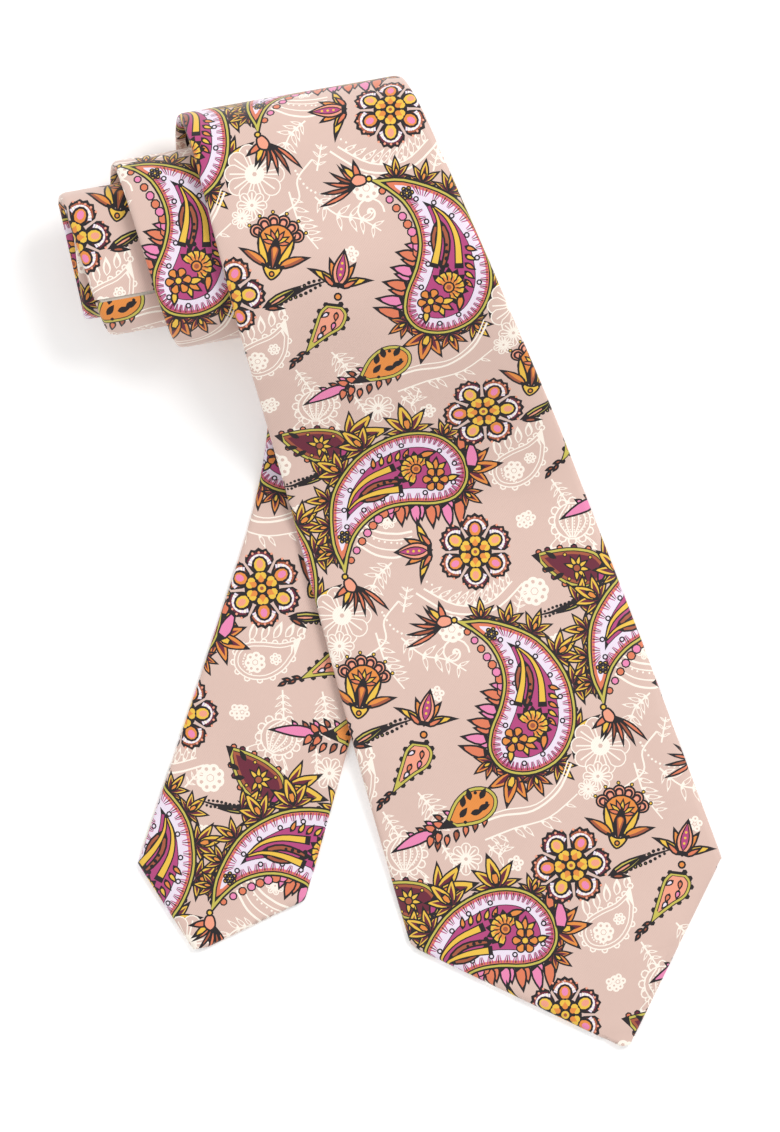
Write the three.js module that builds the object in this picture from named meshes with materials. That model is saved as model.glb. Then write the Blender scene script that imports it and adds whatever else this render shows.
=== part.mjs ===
// A printed necktie, folded in half at the neck, rolled up from the fold, with both ends laid out flat.
// Millimetres, +Z up. Y runs from the two points towards the roll, X to the wearer's side of the blade.
// Every strand of the tie lies on one "route": a line of stations in the roll's cross-section,
// and each station carries a straight section across the strand, parallel to the roll's axis.
import * as THREE from "three";

// Cloth, layer by layer through one strand
const CLOTH = 0.4;
const HALF_STRAND = 1.2;
const FILLING_HALF = 0.45;
const LINING_FRONT = -0.56;
const LINING_BACK = -0.66;
const STRAND_PITCH = 2.75;
const TURN_PITCH = 2 * STRAND_PITCH;
const TABLE_LEVEL = STRAND_PITCH / 2;
const THREAD = 0.3;

// The roll's cross-section: how far the far and near folds of each turn reach along the roll's short way
const FAR_FOLDS = [148.7, 137.7, 130.7, 124.5];
const NEAR_FOLDS = [79.3, 86.8, 93];
const NECK_FOLD_AT = 100;
const ARC_STEP = 5.2;
const RAMP_STEPS = 11;

// Both strands climb from the table to the top of the roll, the tail's more steeply
const BLADE_RAMP_FROM = 12;
const TAIL_RAMP_FROM = 26;
const RAMP_TO = 98;

// The roll's axis is turned this far from X, and the blade runs this far from square to the axis
const AXIS_TURN = THREE.MathUtils.degToRad(9.96);
const BLADE_SKEW = THREE.MathUtils.degToRad(9.1);

// Blade outline: distances from the blade's point, along the route, and places along the roll's axis
const BLADE_POINT = { v: -162.8, a: 47.1 };
const BLADE_LEFT_CORNER = { run: 44.4, a: -15 };
const BLADE_RIGHT_CORNER = { run: 53.7, a: 86.2 };
const BLADE_WIDTHS = [
  [50, 50.7],
  [120, 48],
  [200, 43.6],
  [255, 40.3],
  [317, 35.2],
  [500, 30.2],
  [650, 25.5],
  [760, 20],
];
const BLADE_CENTRE_DRIFT = 3.5;

// How far each turn of the roll has stepped to the left by a given run: the skew, and straight at the core
const BLADE_SHIFT = [
  [0, 0],
  [480, 76.9],
  [630, 103.6],
  [760, 103.6],
];

// Tail outline: the same, from the tail's point
const TAIL_POINT = { v: -109.3, a: -81.4 };
const TAIL_LEFT_CORNER = { run: 31.3, a: -94.5 };
const TAIL_RIGHT_CORNER = { run: 10.3, a: -44.7 };
const TAIL_WIDTHS = [
  [20, 26.9],
  [90, 25],
  [200, 23.4],
  [400, 21.5],
  [640, 20],
];
const TAIL_BEND_FROM = -12;
const TAIL_BEND_TO = 134;
const TAIL_SKEW = THREE.MathUtils.degToRad(-27);

// Where the three shells are joined, and where the sewing sits
const BLADE_NECK_SEAM = 585;
const NECK_TAIL_SEAM = 470;
const FILLING_JOIN = 705;
const SEAM_GAP = 0.9;
const HEM = 9;
const SLIT = 0.6;
const BLADE_OPENING_END = 150;
const TAIL_OPENING_END = 84;
const KEEPER = { from: 215, to: 231, halfWidth: 26, stand: 0.8 };
const LABEL = { from: 176, to: 194, left: -8, right: 26 };

const CLOTH_COLOUR = 0xd6b9ae;
const LINING_COLOUR = 0xc9aaa0;
const FILLING_COLOUR = 0xeee9df;
const THREAD_COLOUR = 0xc59a92;
const LABEL_COLOUR = 0xf4f0ea;

const smooth = (x) => THREE.MathUtils.smoothstep(x, 0, 1);

// Straight-line reading of a short table of [place, value] pairs
function tableAt(table, place) {
  const next = table.findIndex(([p]) => p > place);
  if (next === 0) return table[0][1];
  if (next < 0) return table[table.length - 1][1];
  const [p0, v0] = table[next - 1];
  const [p1, v1] = table[next];
  return v0 + ((v1 - v0) * (place - p0)) / (p1 - p0);
}

// A route in the (v, z) plane, v pointing from the points to the roll. A station holds its place, the
// outward normal of the strand there, and the run of strand from the point to it.
class Route {
  constructor(v, z) {
    this.stations = [{ v, z, nv: 0, nz: 1, run: 0 }];
  }
  get last() {
    return this.stations[this.stations.length - 1];
  }
  add(v, z, nv, nz) {
    const run = this.last.run + Math.hypot(v - this.last.v, z - this.last.z);
    this.stations.push({ v, z, nv, nz, run });
  }
  line(v, stops = []) {
    const { z, nv, nz } = this.last;
    [...stops, v].forEach((stop) => this.add(stop, z, nv, nz));
  }
  // A soft S from the table up to the top of the roll
  ramp(v1, z1) {
    const { v: v0, z: z0 } = this.last;
    const slopeScale = (z1 - z0) / (v1 - v0);
    for (let i = 1; i <= RAMP_STEPS; i++) {
      const t = i / RAMP_STEPS;
      const slope = 6 * t * (1 - t) * slopeScale;
      const size = Math.hypot(1, slope);
      this.add(v0 + (v1 - v0) * t, z0 + (z1 - z0) * smooth(t), -slope / size, 1 / size);
    }
  }
  // Half a turn about a centre, the strand's outer side away from the centre
  halfTurn(centreV, centreZ, radius, steps, far) {
    const side = far ? 1 : -1;
    for (let i = 1; i <= steps; i++) {
      const angle = (side * Math.PI) / 2 - (i * Math.PI) / steps;
      const nv = Math.cos(angle);
      const nz = Math.sin(angle);
      this.add(centreV + radius * nv, centreZ + radius * nz, nv, nz);
    }
  }
}

const halfTurns = FAR_FOLDS.length + NEAR_FOLDS.length;
const levels = halfTurns + 1;
const bottomLevel = (turn) => STRAND_PITCH / 2 + turn * TURN_PITCH;
const topLevel = (turn) => levels * TURN_PITCH - STRAND_PITCH / 2 - turn * TURN_PITCH;

// The route of one strand: inset 0 is the blade's strand, one pitch further in is the tail's
function strandRoute(point, stops, rampFrom, inset) {
  const route = new Route(point.v, TABLE_LEVEL + STRAND_PITCH - inset);
  route.line(rampFrom, stops);
  route.ramp(RAMP_TO, topLevel(0) - inset);
  for (let i = 0; i < halfTurns; i++) {
    const far = i % 2 === 0;
    const turn = Math.floor(i / 2);
    const top = topLevel(far ? turn : turn + 1);
    const radius = (top - bottomLevel(turn)) / 2;
    const centreV = far ? FAR_FOLDS[turn] - radius : NEAR_FOLDS[turn] + radius;
    route.line(centreV);
    const steps = Math.max(4, Math.ceil((Math.PI * radius) / ARC_STEP));
    route.halfTurn(centreV, bottomLevel(turn) + radius, radius - inset, steps, far);
  }
  route.line(NECK_FOLD_AT);
  return route.stations;
}

// Place (v, z) in the roll's cross-section and a along its axis, as a point in the part's frame
function place(v, z, a) {
  const across = new THREE.Vector3(Math.cos(AXIS_TURN), Math.sin(AXIS_TURN), 0);
  const up = new THREE.Vector3(-Math.sin(AXIS_TURN), Math.cos(AXIS_TURN), 0);
  return across.multiplyScalar(a).addScaledVector(up, v).setZ(z);
}

// A section of a strand: its left and right edge, and the normal of its face side
function section(station, aLeft, aRight, drop = [0, 0], face = 1) {
  const normal = place(station.nv, station.nz, 0).multiplyScalar(face);
  return {
    left: place(station.v, station.z + drop[0], aLeft),
    right: place(station.v, station.z + drop[1], aRight),
    normal,
    run: station.run,
    width: aRight - aLeft,
  };
}

// The end of a strand up to its two corners, where the outline is a point
function pointedEdges(run, point, leftCorner, rightCorner, edges) {
  const share = (corner) => Math.min(1, run / corner.run);
  const left = run < leftCorner.run ? point.a + (leftCorner.a - point.a) * share(leftCorner) : edges[0];
  const right = run < rightCorner.run ? point.a + (rightCorner.a - point.a) * share(rightCorner) : edges[1];
  return [left, right];
}

function bladeCentre(run) {
  const settle = 1 - smooth(run / 255);
  return BLADE_POINT.a - tableAt(BLADE_SHIFT, run) - BLADE_CENTRE_DRIFT * settle;
}

function bladeEdges(run) {
  const length = run / Math.cos(BLADE_SKEW);
  const half = tableAt(BLADE_WIDTHS, length) / Math.cos(BLADE_SKEW);
  const lean = half * Math.sin(BLADE_SKEW);
  const left = bladeCentre(run) - tableAt(BLADE_WIDTHS, length + lean) / Math.cos(BLADE_SKEW);
  const right = bladeCentre(run) + tableAt(BLADE_WIDTHS, length - lean) / Math.cos(BLADE_SKEW);
  return pointedEdges(run, BLADE_POINT, BLADE_LEFT_CORNER, BLADE_RIGHT_CORNER, [left, right]);
}

// The blade lies half on the tail: its right edge comes down to the table, its left edge once past the tail
function bladeDrop(v) {
  const rightDrop = -STRAND_PITCH * (1 - smooth((v + 24) / 60));
  const offTail = smooth((-46 - v) / 66);
  const leftDrop = 1.2 * smooth((22 - v) / 30) * (1 - offTail) - STRAND_PITCH * offTail;
  return [leftDrop, rightDrop];
}

// The tail swings out from under the blade: its skew eases from the blade's to its own
function tailSkew(v) {
  const t = smooth((v - TAIL_BEND_FROM) / (TAIL_BEND_TO - TAIL_BEND_FROM));
  return TAIL_SKEW + (BLADE_SKEW - TAIL_SKEW) * t;
}

function tailCentreOnTable(v) {
  const steps = 60;
  const from = -88.5;
  const dv = (v - from) / steps;
  let a = -69.6;
  for (let i = 0; i < steps; i++) a -= Math.tan(tailSkew(from + dv * (i + 0.5))) * dv;
  return a;
}

// Places on the table where a strand has a station: its corners, and even steps between
function tableStops(corners, from, to, step) {
  const count = Math.round((to - from) / step);
  return [...corners, ...Array.from({ length: count }, (_, i) => from + ((to - from) * i) / count)];
}

const bladeCorners = [-161.2, -154, -144, -132, -118.4, -109.1];
const tailCorners = [-108, -104, -99, -88, -78];
const bladeStops = tableStops(bladeCorners, -101, BLADE_RAMP_FROM, 7.5);
const bladeStations = strandRoute(BLADE_POINT, bladeStops, BLADE_RAMP_FROM, 0);
const tailStops = tableStops(tailCorners, -66, TAIL_RAMP_FROM, 14);
const tailStations = strandRoute(TAIL_POINT, tailStops, TAIL_RAMP_FROM, STRAND_PITCH);
const rollStarts = (stations) => stations.findIndex((s) => s.v > RAMP_TO + 0.5);
const bladeSections = bladeStations.map((s) => {
  const [left, right] = bladeEdges(s.run);
  return section(s, left, right, s.run < 260 ? bladeDrop(s.v) : [0, 0]);
});

// Inside the roll the tail's strand follows the blade's strand station by station, a little to the left
const bladeRollStart = rollStarts(bladeStations);
const tailRollStart = rollStarts(tailStations);
const tailCentreAtRoll = tailCentreOnTable(tailStations[tailRollStart].v);
const tailOffset = tailCentreAtRoll - bladeCentre(bladeStations[bladeRollStart].run);

function tailEdges(station, index) {
  const half = tableAt(TAIL_WIDTHS, station.run);
  if (index < tailRollStart) {
    const centre = tailCentreOnTable(station.v);
    const reach = half / Math.cos(tailSkew(station.v));
    const edges = [centre - reach, centre + reach];
    return pointedEdges(station.run, TAIL_POINT, TAIL_LEFT_CORNER, TAIL_RIGHT_CORNER, edges);
  }
  const partner = bladeStations[bladeRollStart + index - tailRollStart];
  const end = bladeStations[bladeStations.length - 1].run;
  const left = (end - partner.run) / (end - bladeStations[bladeRollStart].run);
  const centre = bladeCentre(partner.run) + tailOffset * left;
  const reach = half / Math.cos(BLADE_SKEW);
  return [centre - reach, centre + reach];
}

function tailSection(index, face = 1) {
  const [left, right] = tailEdges(tailStations[index], index);
  return section(tailStations[index], left, right, [0, 0], face);
}

// A section part-way between two others, for a cut at a given run
function between(a, b, run) {
  const t = (run - a.run) / (b.run - a.run);
  return {
    left: a.left.clone().lerp(b.left, t),
    right: a.right.clone().lerp(b.right, t),
    normal: a.normal.clone().lerp(b.normal, t),
    run,
    width: a.width + (b.width - a.width) * t,
  };
}

// The sections from one run to another, with exact ends. Runs rise along the list.
function stretch(sections, from, to) {
  const kept = [];
  sections.forEach((s, i) => {
    const before = sections[i - 1];
    if (before && before.run < from && s.run > from) kept.push(between(before, s, from));
    if (s.run >= from && s.run <= to) kept.push(s);
    if (before && before.run < to && s.run > to) kept.push(between(before, s, to));
  });
  return kept;
}

// One continuous list from the blade's point, round the fold at the neck, to the tail's point
function wholeTie() {
  const list = [...bladeSections];
  const end = bladeStations[bladeStations.length - 1];
  const [bladeLeft, bladeRight] = bladeEdges(end.run);
  const lastTail = tailStations.length - 1;
  const [tailLeft, tailRight] = tailEdges(tailStations[lastTail], lastTail);
  const radius = STRAND_PITCH / 2;
  const side = end.nz > 0 ? 1 : -1;
  const foldSteps = 5;
  for (let i = 1; i < foldSteps; i++) {
    const angle = (i * Math.PI) / foldSteps;
    const t = i / foldSteps;
    const v = end.v + side * radius * Math.sin(angle);
    const z = end.z - side * radius * (1 - Math.cos(angle));
    const run = end.run + radius * angle;
    const station = { v, z, nv: side * Math.sin(angle), nz: side * Math.cos(angle), run };
    const left = bladeLeft + (tailLeft - bladeLeft) * t;
    const right = bladeRight + (tailRight - bladeRight) * t;
    list.push(section(station, left, right));
  }
  const foldEnd = end.run + radius * Math.PI;
  for (let i = lastTail; i >= 0; i--) {
    const reversed = tailSection(i, -1);
    reversed.run = foldEnd + tailStations[lastTail].run - tailStations[i].run;
    list.push(reversed);
  }
  return list;
}

const tieSections = wholeTie();
const tieRun = tieSections[tieSections.length - 1].run;
const tailSections = tailStations.map((_, i) => tailSection(i));

// A closed solid swept through sections. profile(section) gives its outline as [x, n] pairs, x along the
// section from its left edge and n along the face normal; the outline is a band of two equal rows of points.
// Every layer splits its quads the same way round, so that layers stay parallel where the strand twists.
function sweep(sections, profile) {
  const rings = sections.map((s) => {
    const along = s.right.clone().sub(s.left).normalize();
    const at = ([x, n]) => s.left.clone().addScaledVector(along, x).addScaledVector(s.normal, n);
    return profile(s).map(at);
  });
  const outline = profile(sections[0]);
  const size = outline.length;
  const rightwards = outline.map(([x], i) => outline[(i + 1) % size][0] > x);
  const positions = rings.flat().flatMap((p) => [p.x, p.y, p.z]);
  const index = [];
  for (let r = 0; r + 1 < rings.length; r++) {
    for (let i = 0; i < size; i++) {
      const a = r * size + i;
      const b = r * size + ((i + 1) % size);
      if (rightwards[i]) index.push(a, b, b + size, a, b + size, a + size);
      else index.push(a, b, a + size, b, b + size, a + size);
    }
  }
  const last = (rings.length - 1) * size;
  for (let i = 0; i + 1 < size / 2; i++) {
    const j = size - 1 - i;
    index.push(i, j, i + 1, i + 1, j, j - 1);
    index.push(last + i, last + i + 1, last + j, last + i + 1, last + j - 1, last + j);
  }
  const geometry = new THREE.BufferGeometry();
  geometry.setAttribute("position", new THREE.Float32BufferAttribute(positions, 3));
  geometry.setIndex(index);
  geometry.computeVertexNormals();
  return volumeOf(geometry) < 0 ? flipped(geometry) : geometry;
}

function volumeOf(geometry) {
  const p = geometry.getAttribute("position");
  const corner = (i) => new THREE.Vector3().fromBufferAttribute(p, geometry.index.getX(i));
  let volume = 0;
  for (let i = 0; i < geometry.index.count; i += 3) {
    volume += corner(i).dot(corner(i + 1).cross(corner(i + 2)));
  }
  return volume / 6;
}

function flipped(geometry) {
  const index = geometry.index.array;
  for (let i = 0; i < index.length; i += 3) [index[i + 1], index[i + 2]] = [index[i + 2], index[i + 1]];
  geometry.computeVertexNormals();
  return geometry;
}

// Half the width of the opening between the two back flaps, at a run from the strand's own point
function opening(run, width, leftCorner, rightCorner, end) {
  const hemAcross = Math.min(HEM * 1.4, width / 2 - SLIT);
  const atCorners = width / 2 - hemAcross;
  const corner = (leftCorner.run + rightCorner.run) / 2;
  if (run < corner) return Math.max(SLIT, atCorners);
  return Math.max(SLIT, atCorners * (1 - (run - corner) / (end - corner)));
}

function bladeOpening(s) {
  return opening(s.run, s.width, BLADE_LEFT_CORNER, BLADE_RIGHT_CORNER, BLADE_OPENING_END);
}

function tailOpening(s) {
  return opening(s.run, s.width, TAIL_LEFT_CORNER, TAIL_RIGHT_CORNER, TAIL_OPENING_END);
}

// A folded tube of cloth, flat, open along the middle of its back
function shellProfile(openingOf) {
  return (s) => {
    const middle = s.width / 2;
    const gap = Math.min(openingOf(s), middle - 0.5);
    const bend = Math.min(HALF_STRAND, middle / 3);
    const inner = Math.min(CLOTH, bend / 3);
    const half = HALF_STRAND;
    const cavity = HALF_STRAND - CLOTH;
    const outside = [
      [middle + gap, -half],
      [s.width - bend, -half],
      [s.width, 0],
      [s.width - bend, half],
      [bend, half],
      [0, 0],
      [bend, -half],
      [middle - gap, -half],
    ];
    const inside = [
      [middle - gap, -cavity],
      [bend + inner * 0.4, -cavity],
      [inner * 1.4, 0],
      [bend + inner * 0.4, cavity],
      [s.width - bend - inner * 0.4, cavity],
      [s.width - inner * 1.4, 0],
      [s.width - bend - inner * 0.4, -cavity],
      [middle + gap, -cavity],
    ];
    return [...outside, ...inside];
  };
}

// A flat strip between two levels, kept in from both edges
function stripProfile(inset, back, front) {
  return (s) => {
    const edge = Math.min(inset, s.width / 2 - 0.3);
    return [[edge, back], [s.width - edge, back], [s.width - edge, front], [edge, front]];
  };
}

// A thread lying along the middle of the back, between the flaps
function middleThread(s) {
  const middle = s.width / 2;
  const n = -1;
  const r = THREAD / 2;
  return [[middle - r, n - r], [middle + r, n - r], [middle + r, n + r], [middle - r, n + r]];
}

// A straight piece of thread or tape between two points, with a flat section
function bar(from, to, width, thickness, normal) {
  const along = to.clone().sub(from).normalize();
  const side = normal.clone().cross(along).normalize();
  const ends = [from, to].map((p) => ({
    left: p.clone().addScaledVector(side, -width / 2),
    right: p.clone().addScaledVector(side, width / 2),
    normal,
    width,
  }));
  const half = thickness / 2;
  return sweep(ends, () => [[0, -half], [width, -half], [width, half], [0, half]]);
}

// A point of a section, at x from its middle and n along its normal
function onSection(s, x, n) {
  const middle = s.left.clone().lerp(s.right, 0.5);
  const along = s.right.clone().sub(s.left).normalize();
  return middle.addScaledVector(along, x).addScaledVector(s.normal, n);
}

const sectionAt = (sections, run) => stretch(sections, run, run + 0.01)[0];

function material(colour, roughness) {
  return new THREE.MeshStandardMaterial({ color: colour, roughness, metalness: 0 });
}

const tie = new THREE.Group();

function add(name, geometry, colour, roughness = 0.7) {
  const mesh = new THREE.Mesh(geometry, material(colour, roughness));
  mesh.name = name;
  tie.add(mesh);
}

// The three shells of printed cloth
function addShells() {
  const bladeLength = stretch(bladeSections, 1.6, BLADE_NECK_SEAM - SEAM_GAP);
  add("blade_shell", sweep(bladeLength, shellProfile(bladeOpening)), CLOTH_COLOUR);
  const neckLength = stretch(tieSections, BLADE_NECK_SEAM, tieRun - NECK_TAIL_SEAM - SEAM_GAP);
  add("neck_shell", sweep(neckLength, shellProfile(() => SLIT)), CLOTH_COLOUR);
  const tailLength = stretch(tailSections, 1.3, NECK_TAIL_SEAM);
  add("tail_shell", sweep(tailLength, shellProfile(tailOpening)), CLOTH_COLOUR);
}

// The brushed filling that gives the tie its body, in two lengths that meet near the neck
function addFilling() {
  const strip = stripProfile(1.6, -FILLING_HALF, FILLING_HALF);
  const bladeLength = stretch(tieSections, 3.4, FILLING_JOIN - 0.4);
  add("blade_interlining", sweep(bladeLength, strip), FILLING_COLOUR, 0.95);
  const tailLength = stretch(tieSections, FILLING_JOIN, tieRun - 3);
  add("tail_interlining", sweep(tailLength, strip), FILLING_COLOUR, 0.95);
}

// The lining that faces each end, under the hems
function addTipping() {
  const strip = stripProfile(2.4, LINING_BACK, LINING_FRONT);
  add("blade_tipping", sweep(stretch(bladeSections, 5, BLADE_OPENING_END + 14), strip), LINING_COLOUR, 0.5);
  add("tail_tipping", sweep(stretch(tailSections, 4, TAIL_OPENING_END + 12), strip), LINING_COLOUR, 0.5);
}

// Sewing: the slip stitch that closes the back, the tacks at its ends, and the seams
function addSewing() {
  const foldTail = tieRun - NECK_TAIL_SEAM - SEAM_GAP - 1;
  const bladeLength = stretch(tieSections, BLADE_OPENING_END + 1, foldTail);
  add("slip_stitch", sweep(bladeLength, middleThread), THREAD_COLOUR);
  const tailLength = stretch(tailSections, TAIL_OPENING_END + 1, NECK_TAIL_SEAM - 1);
  add("tail_slip_stitch", sweep(tailLength, middleThread), THREAD_COLOUR);
  const tacks = [
    ["blade_bar_tack", sectionAt(bladeSections, BLADE_OPENING_END - 12), 2.9],
    ["tail_bar_tack", sectionAt(tailSections, TAIL_OPENING_END - 12), 1.9],
  ];
  tacks.forEach(([name, s, reach]) => {
    add(name, bar(onSection(s, -reach, -1), onSection(s, reach, -1), 1.4, THREAD, s.normal), THREAD_COLOUR);
  });
  const seams = [
    ["blade_neck_seam", sectionAt(tieSections, BLADE_NECK_SEAM - SEAM_GAP / 2)],
    ["neck_tail_seam", sectionAt(tieSections, tieRun - NECK_TAIL_SEAM - SEAM_GAP / 2)],
  ];
  seams.forEach(([name, s]) => {
    const reach = s.width / 2 - 2;
    add(name, bar(onSection(s, -reach, 1), onSection(s, reach, 1), THREAD, THREAD, s.normal), THREAD_COLOUR);
  });
}

// The keeper: a narrow strap of the same cloth across the blade's back, which holds the tail's end
function keeperProfile(s) {
  const middle = s.width / 2;
  const foot = -HALF_STRAND - 0.35;
  const low = foot - KEEPER.stand;
  const { halfWidth } = KEEPER;
  const rightHalf = [[halfWidth, foot], [halfWidth - 5, foot], [halfWidth - 8, low]];
  const leftHalf = rightHalf.map(([x, n]) => [-x, n]).reverse();
  const row = [...rightHalf, ...leftHalf];
  const outer = row.map(([x, n]) => [middle + x, n - CLOTH]).reverse();
  const innerRow = row.map(([x, n]) => [middle + x, n]);
  return [...outer, ...innerRow];
}

function addKeeper() {
  const length = stretch(bladeSections, KEEPER.from, KEEPER.to);
  add("keeper_loop", sweep(length, keeperProfile), CLOTH_COLOUR);
  const centre = sectionAt(bladeSections, (KEEPER.from + KEEPER.to) / 2);
  const under = -HALF_STRAND - 0.35 - CLOTH - 0.45;
  [["keeper_tack_left", -1], ["keeper_tack_right", 1]].forEach(([name, side]) => {
    const inner = onSection(centre, side * (KEEPER.halfWidth - 4.2), under);
    const outer = onSection(centre, side * (KEEPER.halfWidth - 0.6), under);
    add(name, bar(inner, outer, 5, THREAD, centre.normal), THREAD_COLOUR);
  });
}

// A blank woven label on the blade's back, between the keeper and the opening
function labelProfile(s) {
  const middle = s.width / 2;
  const back = -HALF_STRAND - 0.5;
  const front = back + 0.2;
  const { left, right } = LABEL;
  return [[middle + left, back], [middle + right, back], [middle + right, front], [middle + left, front]];
}

function addLabel() {
  add("blank_label", sweep(stretch(bladeSections, LABEL.from, LABEL.to), labelProfile), LABEL_COLOUR, 0.6);
}

// The spare loop of the slip stitch's thread, left so that the tie can stretch
function addSlackLoop() {
  const s = sectionAt(bladeSections, BLADE_OPENING_END - 48);
  const ring = new THREE.TorusGeometry(4, THREAD / 2, 5, 16);
  ring.deleteAttribute("uv");
  const centre = onSection(s, 0, -1);
  const ahead = onSection(sectionAt(bladeSections, BLADE_OPENING_END - 44), 0, -1).sub(centre);
  const along = s.right.clone().sub(s.left).normalize();
  const normal = ahead.cross(along).normalize();
  const across = normal.clone().cross(along);
  ring.applyMatrix4(new THREE.Matrix4().makeBasis(along, across, normal).setPosition(centre));
  add("slack_thread_loop", ring, THREAD_COLOUR);
}

addShells();
addFilling();
addTipping();
addSewing();
addKeeper();
addLabel();
addSlackLoop();

// The part's frame: the middle of its footprint, on the surface it lies on
const box = new THREE.Box3().setFromObject(tie);
const middle = box.getCenter(new THREE.Vector3());
tie.position.set(-middle.x, -middle.y, -box.min.z);

export default tie;
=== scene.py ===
"""A printed silk necktie, folded at the neck and rolled up from the fold, with both ends laid out flat.

Lengths inside the classes are in millimetres. They become metres where a mesh is made.
"""

import logging
import math
from dataclasses import dataclass, field
from enum import Enum
from typing import Sequence

import bmesh
import bpy
import numpy as np
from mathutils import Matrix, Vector
from mathutils.geometry import delaunay_2d_cdt


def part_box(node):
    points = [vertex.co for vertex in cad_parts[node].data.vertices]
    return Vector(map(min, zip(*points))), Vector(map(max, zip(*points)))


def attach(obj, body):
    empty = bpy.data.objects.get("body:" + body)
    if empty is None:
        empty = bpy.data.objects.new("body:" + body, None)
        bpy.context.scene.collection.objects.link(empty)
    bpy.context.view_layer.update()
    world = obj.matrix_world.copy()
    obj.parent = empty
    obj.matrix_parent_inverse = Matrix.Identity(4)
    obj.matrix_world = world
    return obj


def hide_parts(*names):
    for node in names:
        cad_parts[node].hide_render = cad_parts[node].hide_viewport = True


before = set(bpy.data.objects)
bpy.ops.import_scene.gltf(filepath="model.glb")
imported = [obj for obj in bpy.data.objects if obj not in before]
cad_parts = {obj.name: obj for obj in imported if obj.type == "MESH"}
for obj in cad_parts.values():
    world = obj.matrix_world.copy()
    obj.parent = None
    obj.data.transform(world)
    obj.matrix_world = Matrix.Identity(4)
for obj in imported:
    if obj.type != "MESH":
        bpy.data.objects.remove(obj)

LOG = logging.getLogger("necktie")
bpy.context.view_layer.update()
MM = 0.001

Point = tuple[float, float]


def smooth(x: float) -> float:
    """Soft step from 0 to 1."""
    t = min(1.0, max(0.0, x))
    return t * t * (3 - 2 * t)


def table_at(table: Sequence[Point], place: float) -> float:
    """Straight-line reading of a short table of (place, value) pairs.

    Args:
        table: the pairs, places rising.
        place: where to read.

    Returns:
        The value there, held level past either end.
    """
    if place <= table[0][0]:
        return table[0][1]
    for (p0, v0), (p1, v1) in zip(table, table[1:]):
        if place < p1:
            return v0 + (v1 - v0) * (place - p0) / (p1 - p0)
    return table[-1][1]


# ---- Where the strands of the tie run ----


@dataclass(frozen=True)
class Station:
    """A place on a strand's route in the roll's cross-section, with the outward normal there."""

    v: float
    z: float
    nv: float
    nz: float
    run: float


@dataclass(frozen=True)
class RollSizes:
    """How the roll is wound: layer pitch, where its folds reach, and how it is turned."""

    pitch: float = 2.75
    half_strand: float = 1.2
    far_folds: tuple[float, ...] = (148.7, 137.7, 130.7, 124.5)
    near_folds: tuple[float, ...] = (79.3, 86.8, 93.0)
    neck_fold: float = 100.0
    ramp_to: float = 98.0
    arc_step: float = 2.4
    line_step: float = 6.0
    ramp_steps: int = 30
    axis_turn: float = math.radians(9.96)

    @property
    def half_turns(self) -> int:
        """Number of half turns in the roll."""
        return len(self.far_folds) + len(self.near_folds)

    def bottom(self, turn: int) -> float:
        """Height of a turn's lower strand."""
        return self.pitch / 2 + turn * 2 * self.pitch

    def top(self, turn: int) -> float:
        """Height of a turn's upper strand."""
        return (self.half_turns + 1) * 2 * self.pitch - self.pitch / 2 - turn * 2 * self.pitch


class Route:
    """The line that one strand follows, as a list of stations."""

    def __init__(self, sizes: RollSizes, v: float, z: float) -> None:
        """Start flat on the table.

        Args:
            sizes: the roll's sizes.
            v: first place along the roll's short way.
            z: first height.
        """
        self.sizes = sizes
        self.stations = [Station(v, z, 0.0, 1.0, 0.0)]

    def add(self, v: float, z: float, nv: float, nz: float) -> None:
        """Add one station, its run measured from the last."""
        last = self.stations[-1]
        run = last.run + math.hypot(v - last.v, z - last.z)
        self.stations.append(Station(v, z, nv, nz, run))

    def line(self, v: float) -> None:
        """Run straight to a place, in even steps."""
        last = self.stations[-1]
        steps = max(1, round(abs(v - last.v) / self.sizes.line_step))
        for i in range(1, steps + 1):
            self.add(last.v + (v - last.v) * i / steps, last.z, last.nv, last.nz)

    def ramp(self, v1: float, z1: float) -> None:
        """Climb in a soft S from the table to the top of the roll."""
        last = self.stations[-1]
        scale = (z1 - last.z) / (v1 - last.v)
        for i in range(1, self.sizes.ramp_steps + 1):
            t = i / self.sizes.ramp_steps
            slope = 6 * t * (1 - t) * scale
            size = math.hypot(1, slope)
            v = last.v + (v1 - last.v) * t
            self.add(v, last.z + (z1 - last.z) * smooth(t), -slope / size, 1 / size)

    def half_turn(self, v: float, z: float, radius: float, far: bool) -> None:
        """Go half way round a centre, the strand's face away from it."""
        steps = max(6, math.ceil(math.pi * radius / self.sizes.arc_step))
        side = 1 if far else -1
        for i in range(1, steps + 1):
            angle = side * math.pi / 2 - i * math.pi / steps
            nv, nz = math.cos(angle), math.sin(angle)
            self.add(v + radius * nv, z + radius * nz, nv, nz)

    def wind(self, ramp_from: float, inset: float) -> None:
        """Lie along the table, climb, and wind inwards to the fold at the neck.

        Args:
            ramp_from: where the strand leaves the table.
            inset: how far inside the outer strand it lies.
        """
        sizes = self.sizes
        self.line(ramp_from)
        self.ramp(sizes.ramp_to, sizes.top(0) - inset)
        for i in range(sizes.half_turns):
            far = i % 2 == 0
            turn = i // 2
            top = sizes.top(turn if far else turn + 1)
            radius = (top - sizes.bottom(turn)) / 2
            centre = sizes.far_folds[turn] - radius if far else sizes.near_folds[turn] + radius
            self.line(centre)
            self.half_turn(centre, sizes.bottom(turn) + radius, radius - inset, far)
        self.line(sizes.neck_fold)


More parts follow.
